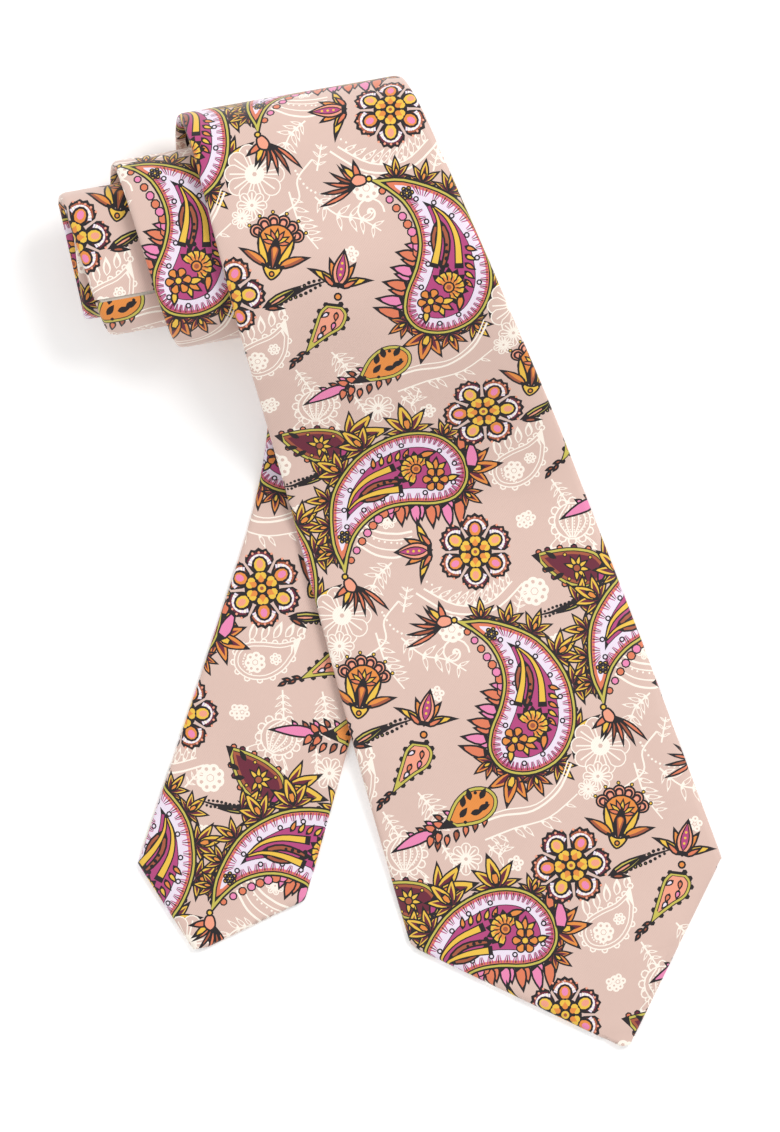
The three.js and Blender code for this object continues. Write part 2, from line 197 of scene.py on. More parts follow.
@dataclass(frozen=True)
class Outline:
    """The plan outline of one end of the tie, from its point: corner runs and places, and half widths."""

    point_v: float
    point_a: float
    left_corner: Point
    right_corner: Point
    half_widths: tuple[Point, ...]

    def pointed(self, run: float, edges: Point) -> Point:
        """Edges of the strand at a run, narrowed to the point near its end.

        Args:
            run: distance from the point.
            edges: what the edges would be without the point.

        Returns:
            The left and right edge.
        """
        left, right = edges
        if run < self.left_corner[0]:
            left = self.point_a + (self.left_corner[1] - self.point_a) * run / self.left_corner[0]
        if run < self.right_corner[0]:
            right = self.point_a + (self.right_corner[1] - self.point_a) * run / self.right_corner[0]
        return left, right


# Where the printed cloth of each end starts and stops, as runs from its point
BLADE_CUT = (1.6, 584.1)
TAIL_CUT = (1.3, 470.0)
TABLE_GAP = 0.175

BLADE_OUTLINE = Outline(
    -162.8,
    47.1,
    (44.4, -15.0),
    (53.7, 86.2),
    ((50, 50.7), (120, 48), (200, 43.6), (255, 40.3), (317, 35.2), (500, 30.2), (650, 25.5), (760, 20)),
)
TAIL_OUTLINE = Outline(
    -109.3, -81.4, (31.3, -94.5), (10.3, -44.7), ((20, 26.9), (90, 25), (200, 23.4), (400, 21.5), (640, 20))
)


class Strand:
    """One strand of the flat folded tube, as a surface over the cloth's own flat coordinates.

    A place on the cloth is (run, across): the distance along the strand from its point, and the place
    along the roll's axis, carried on past the folded edges onto the back flaps.
    """

    def __init__(self, stations: list[Station], sizes: RollSizes) -> None:
        """Keep the route; the subclass gives edges, drop and opening."""
        self.stations = stations
        self.sizes = sizes
        self.end = stations[-1].run
        self.cursor = 0
        self.read: dict[str, np.ndarray] = {}

    def edges(self, run: float) -> Point:
        """Left and right folded edge at a run."""
        raise NotImplementedError

    def drop(self, v: float, run: float) -> Point:
        """How far the left and right edge sit above the route."""
        return 0.0, 0.0

    def gap(self, run: float) -> float:
        """Half the opening between the back flaps."""
        return 0.6

    def lift(self, run: np.ndarray, share: np.ndarray, v: np.ndarray) -> np.ndarray:
        """Soft waviness of the face, added to its height."""
        return 0.0 * run

    def station(self, run: float) -> Station:
        """The station at a run, read between its neighbours."""
        stations = self.stations
        run = min(max(run, 0.0), self.end)
        i = min(self.cursor, len(stations) - 2)
        while i > 0 and stations[i].run > run:
            i -= 1
        while i < len(stations) - 2 and stations[i + 1].run < run:
            i += 1
        self.cursor = i
        a, b = stations[i], stations[i + 1]
        t = (run - a.run) / max(1e-9, b.run - a.run)
        mix = [x + (y - x) * t for x, y in ((a.v, b.v), (a.z, b.z), (a.nv, b.nv), (a.nz, b.nz))]
        size = math.hypot(mix[2], mix[3])
        return Station(mix[0], mix[1], mix[2] / size, mix[3] / size, run)

    def shape(self, run: float) -> tuple[float, float, float]:
        """Centre, half width and width of the soft fold at a run."""
        left, right = self.edges(run)
        half = (right - left) / 2
        return (left + right) / 2, half, min(2.2, half * 0.6)

    def reach(self, run: float) -> float:
        """How far the cloth goes to each side of the centre, round the fold and onto the back."""
        _, half, bend = self.shape(run)
        return (half - bend) + math.pi * bend + max(0.2, half - bend - self.gap(run))

    def reading(self) -> dict[str, np.ndarray]:
        """The strand's route, edges and drops, read every half millimetre and at every station."""
        runs = sorted({*np.arange(0.0, self.end, 0.5).tolist(), *[s.run for s in self.stations]})
        rows = []
        for run in runs:
            here = self.station(run)
            across = (*self.shape(run), self.reach(run), *self.drop(here.v, run))
            rows.append((run, here.v, here.z, here.nv, here.nz, *across))
        names = ("run", "v", "z", "nv", "nz", "centre", "half", "bend", "reach", "low", "high")
        return dict(zip(names, np.array(rows).T))

    def read_at(self, run: np.ndarray) -> dict[str, np.ndarray]:
        """The strand's route, edges and drops at many runs."""
        if not self.read:
            self.read = self.reading()
        return {name: np.interp(run, self.read["run"], column) for name, column in self.read.items()}

    def points(self, run: np.ndarray, across: np.ndarray) -> np.ndarray:
        """Map places on the flat cloth to space.

        Args:
            run: distances along the strand.
            across: places across it, past the folds for the back flaps.

        Returns:
            The points in metres, in the part's frame, one a row.
        """
        at = self.read_at(run)
        centre, half, bend = at["centre"], at["half"], at["bend"]
        side = np.where(across >= centre, 1.0, -1.0)
        past = np.abs(across - centre) - (half - bend)
        thick = self.sizes.half_strand
        share = (across - centre) / np.maximum(0.1, half)
        ease = np.clip((np.abs(share) - 0.8) / 0.2, 0, 1)
        wavy = self.lift(run, share, at["v"]) * (1 - ease * ease * (3 - 2 * ease))
        angle = np.clip(past / bend, 0, math.pi)
        flat, bent = past <= 0, past <= math.pi * bend
        on_fold = centre + side * (half - bend + bend * np.sin(angle))
        on_back = centre + side * (half - bend - (past - math.pi * bend))
        a = np.where(flat, across, np.where(bent, on_fold, on_back))
        n = np.where(flat, thick + wavy, thick * np.cos(angle))
        lower = at["low"] + (at["high"] - at["low"]) * ((a - centre) / np.maximum(0.1, half) + 1) / 2
        v, z = at["v"] + n * at["nv"], at["z"] + n * at["nz"] + lower
        c, s = math.cos(self.sizes.axis_turn), math.sin(self.sizes.axis_turn)
        return np.stack([a * c - v * s, a * s + v * c, z], axis=1) * MM + np.array(PLACE_SHIFT)

    def normals(self, run: np.ndarray, across: np.ndarray) -> np.ndarray:
        """Outward normals of the cloth, from small steps along and across."""
        step = 0.35
        along = self.points(run + step, across) - self.points(run - step, across)
        over = self.points(run, across + step) - self.points(run, across - step)
        found = np.cross(over, along)
        size = np.linalg.norm(found, axis=1, keepdims=True)
        return np.where(size > 1e-12, found / np.maximum(size, 1e-12), np.array([[0.0, 0.0, 1.0]]))


PLACE_SHIFT = Vector((0.0, 0.0, 0.0))


def place(sizes: RollSizes, v: float, z: float, a: float) -> Vector:
    """A point of the roll's cross-section (v, z), at a along its axis, in metres in the part's frame."""
    c, s = math.cos(sizes.axis_turn), math.sin(sizes.axis_turn)
    return Vector((a * c - v * s, a * s + v * c, z)) * MM + PLACE_SHIFT


class BladeStrand(Strand):
    """The wide end's strand, from its point to the fold at the neck."""

    skew = math.radians(9.1)
    shift = ((0, 0), (480, 76.9), (630, 103.6), (760, 103.6))

    def __init__(self, sizes: RollSizes) -> None:
        """Wind the outer strand."""
        route = Route(sizes, BLADE_OUTLINE.point_v, sizes.pitch * 1.5)
        route.wind(12.0, 0.0)
        super().__init__(route.stations, sizes)

    def centre(self, run: float) -> float:
        """Middle of the strand at a run."""
        return BLADE_OUTLINE.point_a - table_at(self.shift, run) - 3.5 * (1 - smooth(run / 255))

    def edges(self, run: float) -> Point:
        """Left and right folded edge at a run."""
        c = math.cos(self.skew)
        length = run / c
        lean = table_at(BLADE_OUTLINE.half_widths, length) / c * math.sin(self.skew)
        left = self.centre(run) - table_at(BLADE_OUTLINE.half_widths, length + lean) / c
        right = self.centre(run) + table_at(BLADE_OUTLINE.half_widths, length - lean) / c
        return BLADE_OUTLINE.pointed(run, (left, right))

    def drop(self, v: float, run: float) -> Point:
        """The right edge comes down to the table, and the left edge once past the tail."""
        if run > 260:
            return 0.0, 0.0
        pitch = self.sizes.pitch
        off = smooth((-46 - v) / 66)
        return 1.2 * smooth((22 - v) / 30) * (1 - off) - pitch * off, -pitch * (1 - smooth((v + 24) / 60))

    def gap(self, run: float) -> float:
        """Half the opening between the flaps: wide at the point, closed by the bar tack."""
        left, right = self.edges(run)
        wide = max(0.6, (right - left) / 2 - 12.6)
        return wide if run < 49 else max(0.6, wide * (1 - (run - 49) / 101))

    def lift(self, run: np.ndarray, share: np.ndarray, v: np.ndarray) -> np.ndarray:
        """Slow waves along the open blade, gone by the time it is wound."""
        fade = np.clip(run / 20, 0, 1) * np.clip((300 - run) / 30, 0, 1)
        wave = np.sin(run / 17.0 + 1.1 * share) + 0.8 * np.sin(run / 9.5 - 2.3 * share + 1.0)
        return fade * 0.16 * (wave + 1.8)


class TailStrand(Strand):
    """The narrow end's strand, from its point to the fold at the neck."""

    skew = math.radians(-27)

    def __init__(self, sizes: RollSizes, blade: BladeStrand) -> None:
        """Wind the inner strand beside the blade's."""
        route = Route(sizes, TAIL_OUTLINE.point_v, sizes.pitch / 2)
        route.wind(26.0, sizes.pitch)
        super().__init__(route.stations, sizes)
        self.blade = blade
        self.roll_from = next(s.run for s in self.stations if s.v > sizes.ramp_to - 0.01)
        self.blade_from = next(s.run for s in blade.stations if s.v > sizes.ramp_to - 0.01)
        self.table = self.table_centres()
        self.offset = self.on_table(sizes.ramp_to) - blade.centre(self.blade_from)

    def skew_at(self, v: float) -> float:
        """Direction of the tail in plan, easing to the blade's."""
        return self.skew + (BladeStrand.skew - self.skew) * smooth((v + 12) / 146)

    def table_centres(self) -> list[Point]:
        """The tail's middle in plan, every 2 mm, from the point into the roll."""
        start_v, start_a = -88.5, -69.6
        back = [(start_v, start_a)]
        while back[-1][0] > -112:
            v, a = back[-1]
            back.append((v - 2, a + math.tan(self.skew_at(v - 1)) * 2))
        ahead = [(start_v, start_a)]
        while ahead[-1][0] < 140:
            v, a = ahead[-1]
            ahead.append((v + 2, a - math.tan(self.skew_at(v + 1)) * 2))
        return list(reversed(back)) + ahead[1:]

    def on_table(self, v: float) -> float:
        """The tail's middle where it lies in the open."""
        return table_at(self.table, v)

    def edges(self, run: float) -> Point:
        """Left and right folded edge at a run."""
        half = table_at(TAIL_OUTLINE.half_widths, run)
        if run <= self.roll_from:
            v = self.station(run).v
            middle, reach = self.on_table(v), half / math.cos(self.skew_at(v))
            return TAIL_OUTLINE.pointed(run, (middle - reach, middle + reach))
        share = (run - self.roll_from) / (self.end - self.roll_from)
        partner = self.blade_from + share * (self.blade.end - self.blade_from)
        middle = self.blade.centre(partner) + self.offset * (1 - share)
        reach = half / math.cos(BladeStrand.skew)
        return middle - reach, middle + reach

    def gap(self, run: float) -> float:
        """Half the opening between the flaps."""
        left, right = self.edges(run)
        wide = max(0.6, (right - left) / 2 - 12.6)
        return wide if run < 21 else max(0.6, wide * (1 - (run - 21) / 63))

    def lift(self, run: np.ndarray, share: np.ndarray, v: np.ndarray) -> np.ndarray:
        """Slow waves along the open tail, none where the blade lies on it."""
        fade = np.clip(run / 15, 0, 1) * np.clip((-50 - v) / 12, 0, 1)
        return fade * 0.14 * (np.sin(run / 13.0 + 1.4 * share) + 1.0)


# ---- The printed pattern ----


def linear(code: str) -> list[float]:
    """Red, green and blue in linear light, from a six-digit colour code."""
    parts = [int(code[i : i + 2], 16) / 255 for i in (0, 2, 4)]
    return [c / 12.92 if c <= 0.04045 else ((c + 0.055) / 1.055) ** 2.4 for c in parts]


class Ink(Enum):
    """The print's colours, as drawn on the cloth."""

    GROUND = "dbbdb1"
    CREAM = "fdf3e6"
    LINE = "1c1418"
    OLIVE = "c6ba52"
    YELLOW = "ecc046"
    ORANGE = "e58d3f"
    CORAL = "df7b58"
    SALMON = "ef9f83"
    PINK = "ea86b2"
    MAGENTA = "b5447c"
    MAROON = "6a1f34"
    LILAC = "ecdfee"
    RUST = "a6573a"

    def linear(self) -> tuple[float, float, float, float]:
        """The colour in linear light, opaque."""
        r, g, b = linear(self.value)
        return r, g, b, 1.0


@dataclass(frozen=True)
class Spot:
    """A place, direction in degrees and scale on the cloth."""

    x: float = 0.0
    y: float = 0.0
    turn: float = 0.0
    scale: float = 1.0
    mirror: bool = False

    def put(self, p: Point) -> Point:
        """A local point, placed."""
        c, s = math.cos(math.radians(self.turn)), math.sin(math.radians(self.turn))
        px, py = p[0] * self.scale, p[1] * self.scale * (-1 if self.mirror else 1)
        return self.x + px * c - py * s, self.y + px * s + py * c

    def at(self, x: float, y: float, turn: float = 0.0, scale: float = 1.0, mirror: bool = False) -> "Spot":
        """A spot given inside this one."""
        px, py = self.put((x, y))
        local = -turn if self.mirror else turn
        return Spot(px, py, self.turn + local, self.scale * scale, self.mirror != mirror)


def between(a: float, b: float, c: float, d: float, t: float) -> float:
    """A share t of the way from b to c on a smooth curve that also passes a and d."""
    square, cube = 2 * a - 5 * b + 4 * c - d, 3 * b - a - 3 * c + d
    return 0.5 * (2 * b + (c - a) * t + square * t * t + cube * t * t * t)


def rounded(points: Sequence[Point], per: int = 3, closed: bool = True) -> list[Point]:
    """A smooth curve through points.

    Args:
        points: the points it goes through.
        per: pieces between neighbours.
        closed: whether it returns to its start.

    Returns:
        The points of the curve.
    """
    n = len(points)
    pick = (lambda i: points[i % n]) if closed else (lambda i: points[min(max(i, 0), n - 1)])
    found: list[Point] = []
    for i in range(n if closed else n - 1):
        p0, p1, p2, p3 = pick(i - 1), pick(i), pick(i + 1), pick(i + 2)
        for k in range(per):
            t = k / per
            x, y = (between(*four, t) for four in zip(p0, p1, p2, p3))
            found.append((x, y))
    if not closed:
        found.append(points[-1])
    return found


def signed_area(points: Sequence[Point]) -> float:
    """Area of a polygon, positive when it goes anticlockwise."""
    return sum(a[0] * b[1] - b[0] * a[1] for a, b in zip(points, [*points[1:], points[0]])) / 2


def to_segment(p: Point, a: Point, b: Point) -> float:
    """Distance from a point to a straight piece."""
    dx, dy = b[0] - a[0], b[1] - a[1]
    size = dx * dx + dy * dy
    t = 0.0 if size == 0 else min(1.0, max(0.0, ((p[0] - a[0]) * dx + (p[1] - a[1]) * dy) / size))
    return math.hypot(p[0] - a[0] - t * dx, p[1] - a[1] - t * dy)


def crosses_itself(points: Sequence[Point]) -> bool:
    """Whether an outline's sides cross each other."""

    def turn(a: Point, b: Point, c: Point) -> bool:
        """Whether c lies to the left of the line from a to b."""
        return (b[0] - a[0]) * (c[1] - a[1]) > (b[1] - a[1]) * (c[0] - a[0])

    n = len(points)
    sides = [(points[i], points[(i + 1) % n]) for i in range(n)]
    for i in range(n):
        for k in range(i + 2, n if i else n - 1):
            (a, b), (c, d) = sides[i], sides[k]
            if turn(a, b, c) != turn(a, b, d) and turn(c, d, a) != turn(c, d, b):
                return True
    return False


def inset(points: Sequence[Point], depth: float) -> list[Point]:
    """The outline moved inwards, with what no longer fits left out.

    Args:
        points: the outline.
        depth: how far inwards.

    Returns:
        The smaller outline, empty where nothing fits.
    """
    n = len(points)
    turn = 1.0 if signed_area(points) > 0 else -1.0
    kept: list[Point] = []
    for i in range(n):
        a, b, c = points[i - 1], points[i], points[(i + 1) % n]
        dx, dy = c[0] - a[0], c[1] - a[1]
        size = math.hypot(dx, dy) or 1.0
        p = (b[0] - dy / size * depth * turn, b[1] + dx / size * depth * turn)
        near = min(to_segment(p, points[k - 1], points[k]) for k in range(n))
        if near > abs(depth) * 0.9:
            kept.append(p)
    sound = len(kept) > 2 and signed_area(kept) * turn > 0.02 and not crosses_itself(kept)
    return kept if sound else []


def disc(radius: float, sides: int = 10, stretch: float = 1.0) -> list[Point]:
    """A round or oval patch."""
    return [
        (radius * stretch * math.cos(2 * math.pi * i / sides), radius * math.sin(2 * math.pi * i / sides))
        for i in range(sides)
    ]


def leaf(length: float, width: float, bend: float = 0.0, steps: int = 5, full: float = 0.42) -> list[Point]:
    """A leaf from the origin along x, pointed at both ends, its tip bent sideways."""
    up, down = [], []
    for i in range(steps + 1):
        t = i / steps
        half = width / 2 * math.sin(math.pi * t ** (math.log(0.5) / math.log(full)))
        x, y = length * t, bend * t * t
        up.append((x, y + half))
        down.append((x, y - half))
    return up + down[-2:0:-1]


def teardrop(length: float, width: float, bend: float = 0.0, steps: int = 8) -> list[Point]:
    """A drop with its point at the origin and its round end at length along x."""
    r = width / 2
    arc = [
        (length - r + r * math.cos(a), r * math.sin(a))
        for a in (math.radians(100 - 200 * i / steps) for i in range(steps + 1))
    ]
    body = [(0.0, 0.0), (length * 0.3, r * 0.42), *arc, (length * 0.3, -r * 0.42)]
    return [(x, y + bend * (x / length) ** 2) for x, y in body]


def ribbon(path: Sequence[Point], start: float, end: float | None = None) -> list[Point]:
    """A line of thread or ink with width, tapering from start to end."""
    end = start if end is None else end
    n = len(path)
    left, right = [], []
    for i, (x, y) in enumerate(path):
        a, b = path[max(0, i - 1)], path[min(n - 1, i + 1)]
        dx, dy = b[0] - a[0], b[1] - a[1]
        size = math.hypot(dx, dy) or 1.0
        half = (start + (end - start) * i / max(1, n - 1)) / 2
        left.append((x - dy / size * half, y + dx / size * half))
        right.append((x + dy / size * half, y - dx / size * half))
    return left + right[::-1]


def spiral(radius: float, turns: float, steps: int = 22) -> list[Point]:
    """A path curling in to the origin."""
    path = []
    for i in range(steps):
        t = i / steps
        reach, angle = radius * (1 - t) ** 0.8, 2 * math.pi * turns * t
        path.append((reach * math.cos(angle), reach * math.sin(angle)))
    return path


class Drawing:
    """Coloured shapes in the order they are printed, the later over the earlier."""

    line_weight = 1.9
    cream_weight = 1.35

    def __init__(self) -> None:
        """Start blank."""
        self.shapes: list[tuple[list[Point], Ink]] = []
        self.middles: list[Point] = []
        self.reaches = np.zeros(0)

    def measure(self) -> None:
        """Note each shape's middle and how far it reaches from there."""
        sums = [(sum(p[0] for p in shape), sum(p[1] for p in shape), len(shape)) for shape, _ in self.shapes]
        self.middles = [(x / n, y / n) for x, y, n in sums]
        self.reaches = np.array(
            [max(math.dist(p, m) for p in shape) for (shape, _), m in zip(self.shapes, self.middles)]
        )

    def fill(self, points: Sequence[Point], ink: Ink, spot: Spot) -> None:
        """Print one shape."""
        if len(points) > 2:
            self.shapes.append(([spot.put(p) for p in points], ink))

    def edged(self, points: Sequence[Point], ink: Ink, spot: Spot, line: float = 0.32) -> None:
        """Print one shape with a dark outline inside its edge."""
        self.fill(points, Ink.LINE, spot)
        self.fill(inset(points, self.line_weight * line / spot.scale), ink, spot)

    def banded(self, edge: Sequence[Point], bands: Sequence[tuple[float, Ink]], spot: Spot) -> None:
        """Print an outline over and over, each time by a depth further in and in its own ink."""
        for depth, ink in bands:
            self.fill(inset(edge, depth) if depth else edge, ink, spot)

    def hollow(self, points: Sequence[Point], spot: Spot, width: float) -> None:
        """Print a cream outline with the ground inside it."""
        self.fill(points, Ink.CREAM, spot)
        self.fill(inset(points, width), Ink.GROUND, spot)

    def line(self, path: Sequence[Point], spot: Spot, start: float, end: float | None = None) -> None:
        """Print one cream line, which may taper."""
        end = start if end is None else end
        self.fill(ribbon(path, start * self.cream_weight, end * self.cream_weight), Ink.CREAM, spot)

    def thread(self, path: Sequence[Point], spot: Spot, width: float, per: int = 5) -> None:
        """Print one smooth cream line through a few points."""
        self.line(rounded(path, per, False), spot, width)

    def ring(self, radius: float, ink: Ink, spot: Spot, width: float = 0.3, sides: int = 8) -> None:
        """Print a ring over the ground."""
        pts = disc(radius, sides)
        for a, b in zip(pts, [*pts[1:], pts[0]]):
            self.fill(ribbon([a, b], width), ink, spot)


class Motifs(Drawing):
    """The figures of the print: rosettes, paisleys, tulips, a fan flower, and cream line work."""

    def rosette(self, spot: Spot, radius: float, turn: float) -> None:
        """A round flower of six scalloped petals about a ring of six lobes.

        Args:
            spot: its middle.
            radius: to the petals' rim.
            turn: direction of the first petal.
        """
        size = radius / 12.6
        half = math.radians(28.0)
        for k in range(6):
            petal = spot.at(0, 0, turn + 60 * k, size)
            rim = []
            for i in range(11):
                a = half * (i / 5 - 1)
                scallop = 12.4 + (0.5 if i % 2 else -0.25) - 2.4 * (abs(i - 5) / 5) ** 2.4
                rim.append((scallop * math.cos(a), scallop * math.sin(a)))
            outline = [(3.6, -0.8), (5.6, -2.7), *rim, (5.6, 2.7), (3.6, 0.8)]
            self.edged(outline, Ink.RUST if k % 2 else Ink.MAROON, petal, 0.36)
            for i in range(1, 10, 2):
                a = half * (i / 5 - 1) * 0.92
                self.fill(disc(0.42, 6), Ink.SALMON, petal.at(11.3 * math.cos(a), 11.3 * math.sin(a)))
            for i in range(13):
                a = half * (i / 6 - 1) * 0.86
                reach = 10.8 - 2.0 * (abs(i - 6) / 6) ** 2
                tip = (reach * math.cos(a), reach * math.sin(a))
                nx, ny = -tip[1] * 0.09, (tip[0] - 6) * 0.09
                ray = [(6 - ny * 0.2, 0), (tip[0] + nx, tip[1] + ny), (tip[0] - nx, tip[1] - ny)]
                self.fill(ray, Ink.CREAM if i % 2 else Ink.LILAC, petal)
            self.fill(disc(2.6, 12, 1.15), Ink.LINE, petal.at(7.3, 0))
            self.fill(disc(1.85, 10, 1.2), Ink.ORANGE if k % 2 else Ink.YELLOW, petal.at(7.4, 0))
            self.fill(disc(1.1, 8, 1.3), Ink.PINK if k % 2 else Ink.SALMON, petal.at(7.7, 0))
        self.fill(disc(5.5 * size, 24), Ink.LINE, spot)
        for k in range(6):
            lobe = spot.at(0, 0, turn + 60 * k, size)
            for side in (-1, 1):
                self.fill(disc(1.2, 8), Ink.YELLOW, lobe.at(3.9, 0.6 * side))
            self.fill(teardrop(2.6, 1.9), Ink.ORANGE, lobe.at(4.5, 0, 180))
        self.fill(disc(1.75 * size, 12), Ink.LINE, spot)
        self.fill(disc(1.35 * size, 12), Ink.YELLOW, spot)
        self.fill(disc(0.62 * size, 8), Ink.RUST, spot)

    def palmette(self, spot: Spot, length: float, inks: tuple[Ink, Ink, Ink]) -> None:
        """A spray of five pointed tongues on an outline's edge.

        Args:
            spot: its foot, pointing along x.
            length: of its middle tongue.
            inks: outer, inner and heart colours.
        """
        outer, inner, heart = inks
        tongues = ((62, 0.78, 0.26), (-62, 0.78, -0.26), (30, 0.98, 0.2), (-30, 0.98, -0.2), (0, 1.15, 0.1))
        for turn, part, bend in tongues:
            tongue = spot.at(0, 0, turn)
            size = length * part
            self.edged(leaf(size, size * 0.38, bend * length, 6, 0.4), outer, tongue, 0.27)
            self.fill(leaf(size * 0.72, size * 0.16, bend * length * 0.5, 4), inner, tongue)
        self.edged(leaf(length * 0.62, length * 0.26, 0, 4, 0.55), heart, spot, 0.25)

    def tulip(self, spot: Spot, length: float, side: Ink = Ink.YELLOW, cup: Ink = Ink.SALMON) -> None:
        """A tulip seen from the side, its foot at the spot, opening along x."""
        s = length / 12
        for m in (1, -1):
            self.edged(leaf(9.5 * s, 3.2 * s, 4.2 * s * m), side, spot.at(0.5 * s, 0.8 * s * m, 44 * m))
            self.edged(leaf(6.5 * s, 2.2 * s, -1.2 * s * m), Ink.CORAL, spot.at(0.4 * s, 0.4 * s * m, 66 * m))
            self.edged(leaf(8.6 * s, 3.0 * s, 0.8 * s * m), Ink.ORANGE, spot.at(1.0 * s, 0.5 * s * m, 20 * m))
        self.edged(leaf(12 * s, 5.4 * s, 0, 8), cup, spot)
        self.fill(leaf(9.2 * s, 2.9 * s, 0, 7), Ink.LINE, spot.at(1.6 * s, 0))
        self.fill(leaf(8.0 * s, 2.1 * s, 0, 7), Ink.MAGENTA, spot.at(2.1 * s, 0))
        for i in range(3):
            self.fill(disc(0.42 * s, 6), Ink.YELLOW, spot.at((4.2 + 1.7 * i) * s, 0))

    def plume(self, spot: Spot, length: float, mirror: bool = False) -> None:
        """A small flower at a paisley's tip, with a feather curling away."""
        s = spot.at(0, 0, 0, length / 16, mirror)
        petals = ((8, 9.0, -1.2, Ink.ORANGE), (-30, 8.4, -2.6, Ink.YELLOW), (-58, 7.0, -2.4, Ink.CORAL))
        for turn, reach, bend, ink in petals:
            self.edged(leaf(reach, 2.9, bend), ink, s.at(1.5, 0, turn))
        for i, (turn, reach) in enumerate(((78, 15.0), (66, 13.2), (55, 11.2), (43, 9.4), (31, 7.8))):
            barb = leaf(reach, 2.0, -3.6 - 0.5 * i, 6, 0.6)
            self.edged(barb, Ink.RUST if i % 2 else Ink.CORAL, s.at(2.0, 0.6, turn - 42), 0.28)
        self.edged(rounded([(0, -1.3), (3.2, -2.2), (5.2, 0), (3.4, 2.0), (0, 1.3)]), Ink.SALMON, s)
        self.edged(disc(1.25, 9), Ink.YELLOW, s.at(-0.9, 0))

    def paisley_outline(self) -> list[Point]:
        """The large paisley's outline, from its point round the full side and back."""
        full = [
            (-3.9, 9.8), (-4.8, 20.8), (-3.0, 29.2), (2.9, 38.4), (10.1, 44.0), (17.3, 47.0), (24.5, 47.4),
        ]
        head = [(30.5, 45.5), (35.6, 40.8), (38.1, 35.2), (38.0, 29.8), (34.6, 24.9), (28.1, 22.8)]
        hollow = [(20.2, 22.8), (13.0, 21.4), (7.2, 17.7), (2.9, 12.2), (0.9, 6.2)]
        return [(0.0, 0.0), *rounded([(-1.0, 3.0), *full, *head, *hollow], 3, False)]

    def large_paisley(self, spot: Spot) -> None:
        """The large paisley with its ringed bands, fringes, and the flowers inside it.

        Args:
            spot: its point; the head lies up and to the right.
        """
        edge = self.paisley_outline()
        fringe = (
            (-3.2, 7.5, 200, 6.5), (-4.6, 15.5, 186, 7.0), (-5.0, 24.0, 176, 7.5), (-1.2, 33.5, 150, 9.0),
            (5.5, 41.8, 133, 9.5), (19.5, 47.2, 103, 10.5), (30.2, 45.8, 62, 7.0),
        )
        gold = (Ink.YELLOW, Ink.MAROON, Ink.ORANGE)
        for x, y, turn, size in fringe:
            self.palmette(spot.at(x, y, turn), size, gold)
        for x, y, turn, size in ((37.6, 34.5, 4, 10.5), (37.0, 27.0, -40, 6.5), (36.0, 40.5, 40, 7.0)):
            self.palmette(spot.at(x, y, turn), size, (Ink.ORANGE, Ink.MAROON, Ink.YELLOW))
        hanging = (
            (34.5, 24.8, -64), (30.0, 23.2, -52), (25.2, 22.8, -54), (20.4, 22.8, -52), (15.8, 22.0, -50),
        )
        for i, (x, y, turn) in enumerate(hanging):
            front, behind = (Ink.PINK, Ink.CORAL) if i % 2 else (Ink.CORAL, Ink.PINK)
            self.edged(leaf(10.4 - i * 0.8, 4.2, -3.2), front, spot.at(x, y + 0.6, turn))
            self.edged(leaf(7.0 - i * 0.4, 3.2, -2.0), behind, spot.at(x - 2.4, y + 0.5, turn - 6))
        for i in range(9):
            t = i / 8
            x, y = 15.5 - 13.6 * t, 22.2 - 17.0 * t ** 1.5
            self.edged(disc(1.9 - 0.6 * t, 8), Ink.PINK if i % 2 else Ink.CORAL, spot.at(x, y - 0.3), 0.24)
        for i in range(0, len(edge) - 16, 2):
            x, y = edge[i + 1]
            self.edged(disc(1.05, 7), Ink.MAROON if i % 4 else Ink.CORAL, spot.at(x, y), 0.26)
        rim = ((-0.6, Ink.LINE), (0.0, Ink.OLIVE), (0.65, Ink.LINE), (1.1, Ink.CORAL), (2.0, Ink.LILAC))
        self.banded(edge, rim, spot)
        band = inset(edge, 1.3)
        inner = inset(edge, 5.2)
        for i in range(0, len(band)):
            a, b = band[i], band[(i + 1) % len(band)]
            for t in (0.12, 0.45, 0.78):
                p = (a[0] + (b[0] - a[0]) * t, a[1] + (b[1] - a[1]) * t)
                q = min(inner, key=lambda c: math.hypot(c[0] - p[0], c[1] - p[1]))
                d = math.hypot(q[0] - p[0], q[1] - p[1])
                if d > 6.5:
                    continue
                end = (p[0] + (q[0] - p[0]) * 0.62, p[1] + (q[1] - p[1]) * 0.62)
                self.fill(ribbon([p, end], 0.5, 0.2), Ink.MAROON if t < 0.3 else Ink.MAGENTA, spot)
        self.banded(edge, ((5.2, Ink.LINE), (5.45, Ink.MAGENTA)), spot)
        rings = (
            (0.5, 15.5), (-0.4, 21.0), (1.4, 27.6), (5.2, 34.0), (10.4, 39.4), (17.2, 42.8), (29.2, 40.8),
            (34.0, 36.4), (33.8, 30.0), (25.0, 26.6), (17.6, 26.0), (11.6, 24.6), (5.8, 21.0),
        )
        for x, y in rings:
            self.fill(disc(0.95, 8), Ink.LINE, spot.at(x, y))
            self.fill(disc(0.5, 6), Ink.LILAC, spot.at(x, y))
        self.daisy(spot.at(-0.2, 12.2), 2.3, Ink.YELLOW)
        self.flame(spot)
        self.sunburst(spot.at(22.0, 34.6, 150), 6.4)
        for turn, ink in ((35, Ink.YELLOW), (75, Ink.ORANGE), (115, Ink.YELLOW)):
            self.edged(leaf(5.6, 2.6, 0.6), ink, spot.at(27.5, 33.5, turn), 0.28)
        self.edged(leaf(6.4, 2.8, -1.0), Ink.ORANGE, spot.at(22.5, 38.5, 28))
        self.edged(leaf(5.2, 2.6, 0.4), Ink.YELLOW, spot.at(31.0, 31.0, 12))
        self.daisy(spot.at(28.2, 31.0), 4.3, Ink.ORANGE, 6)

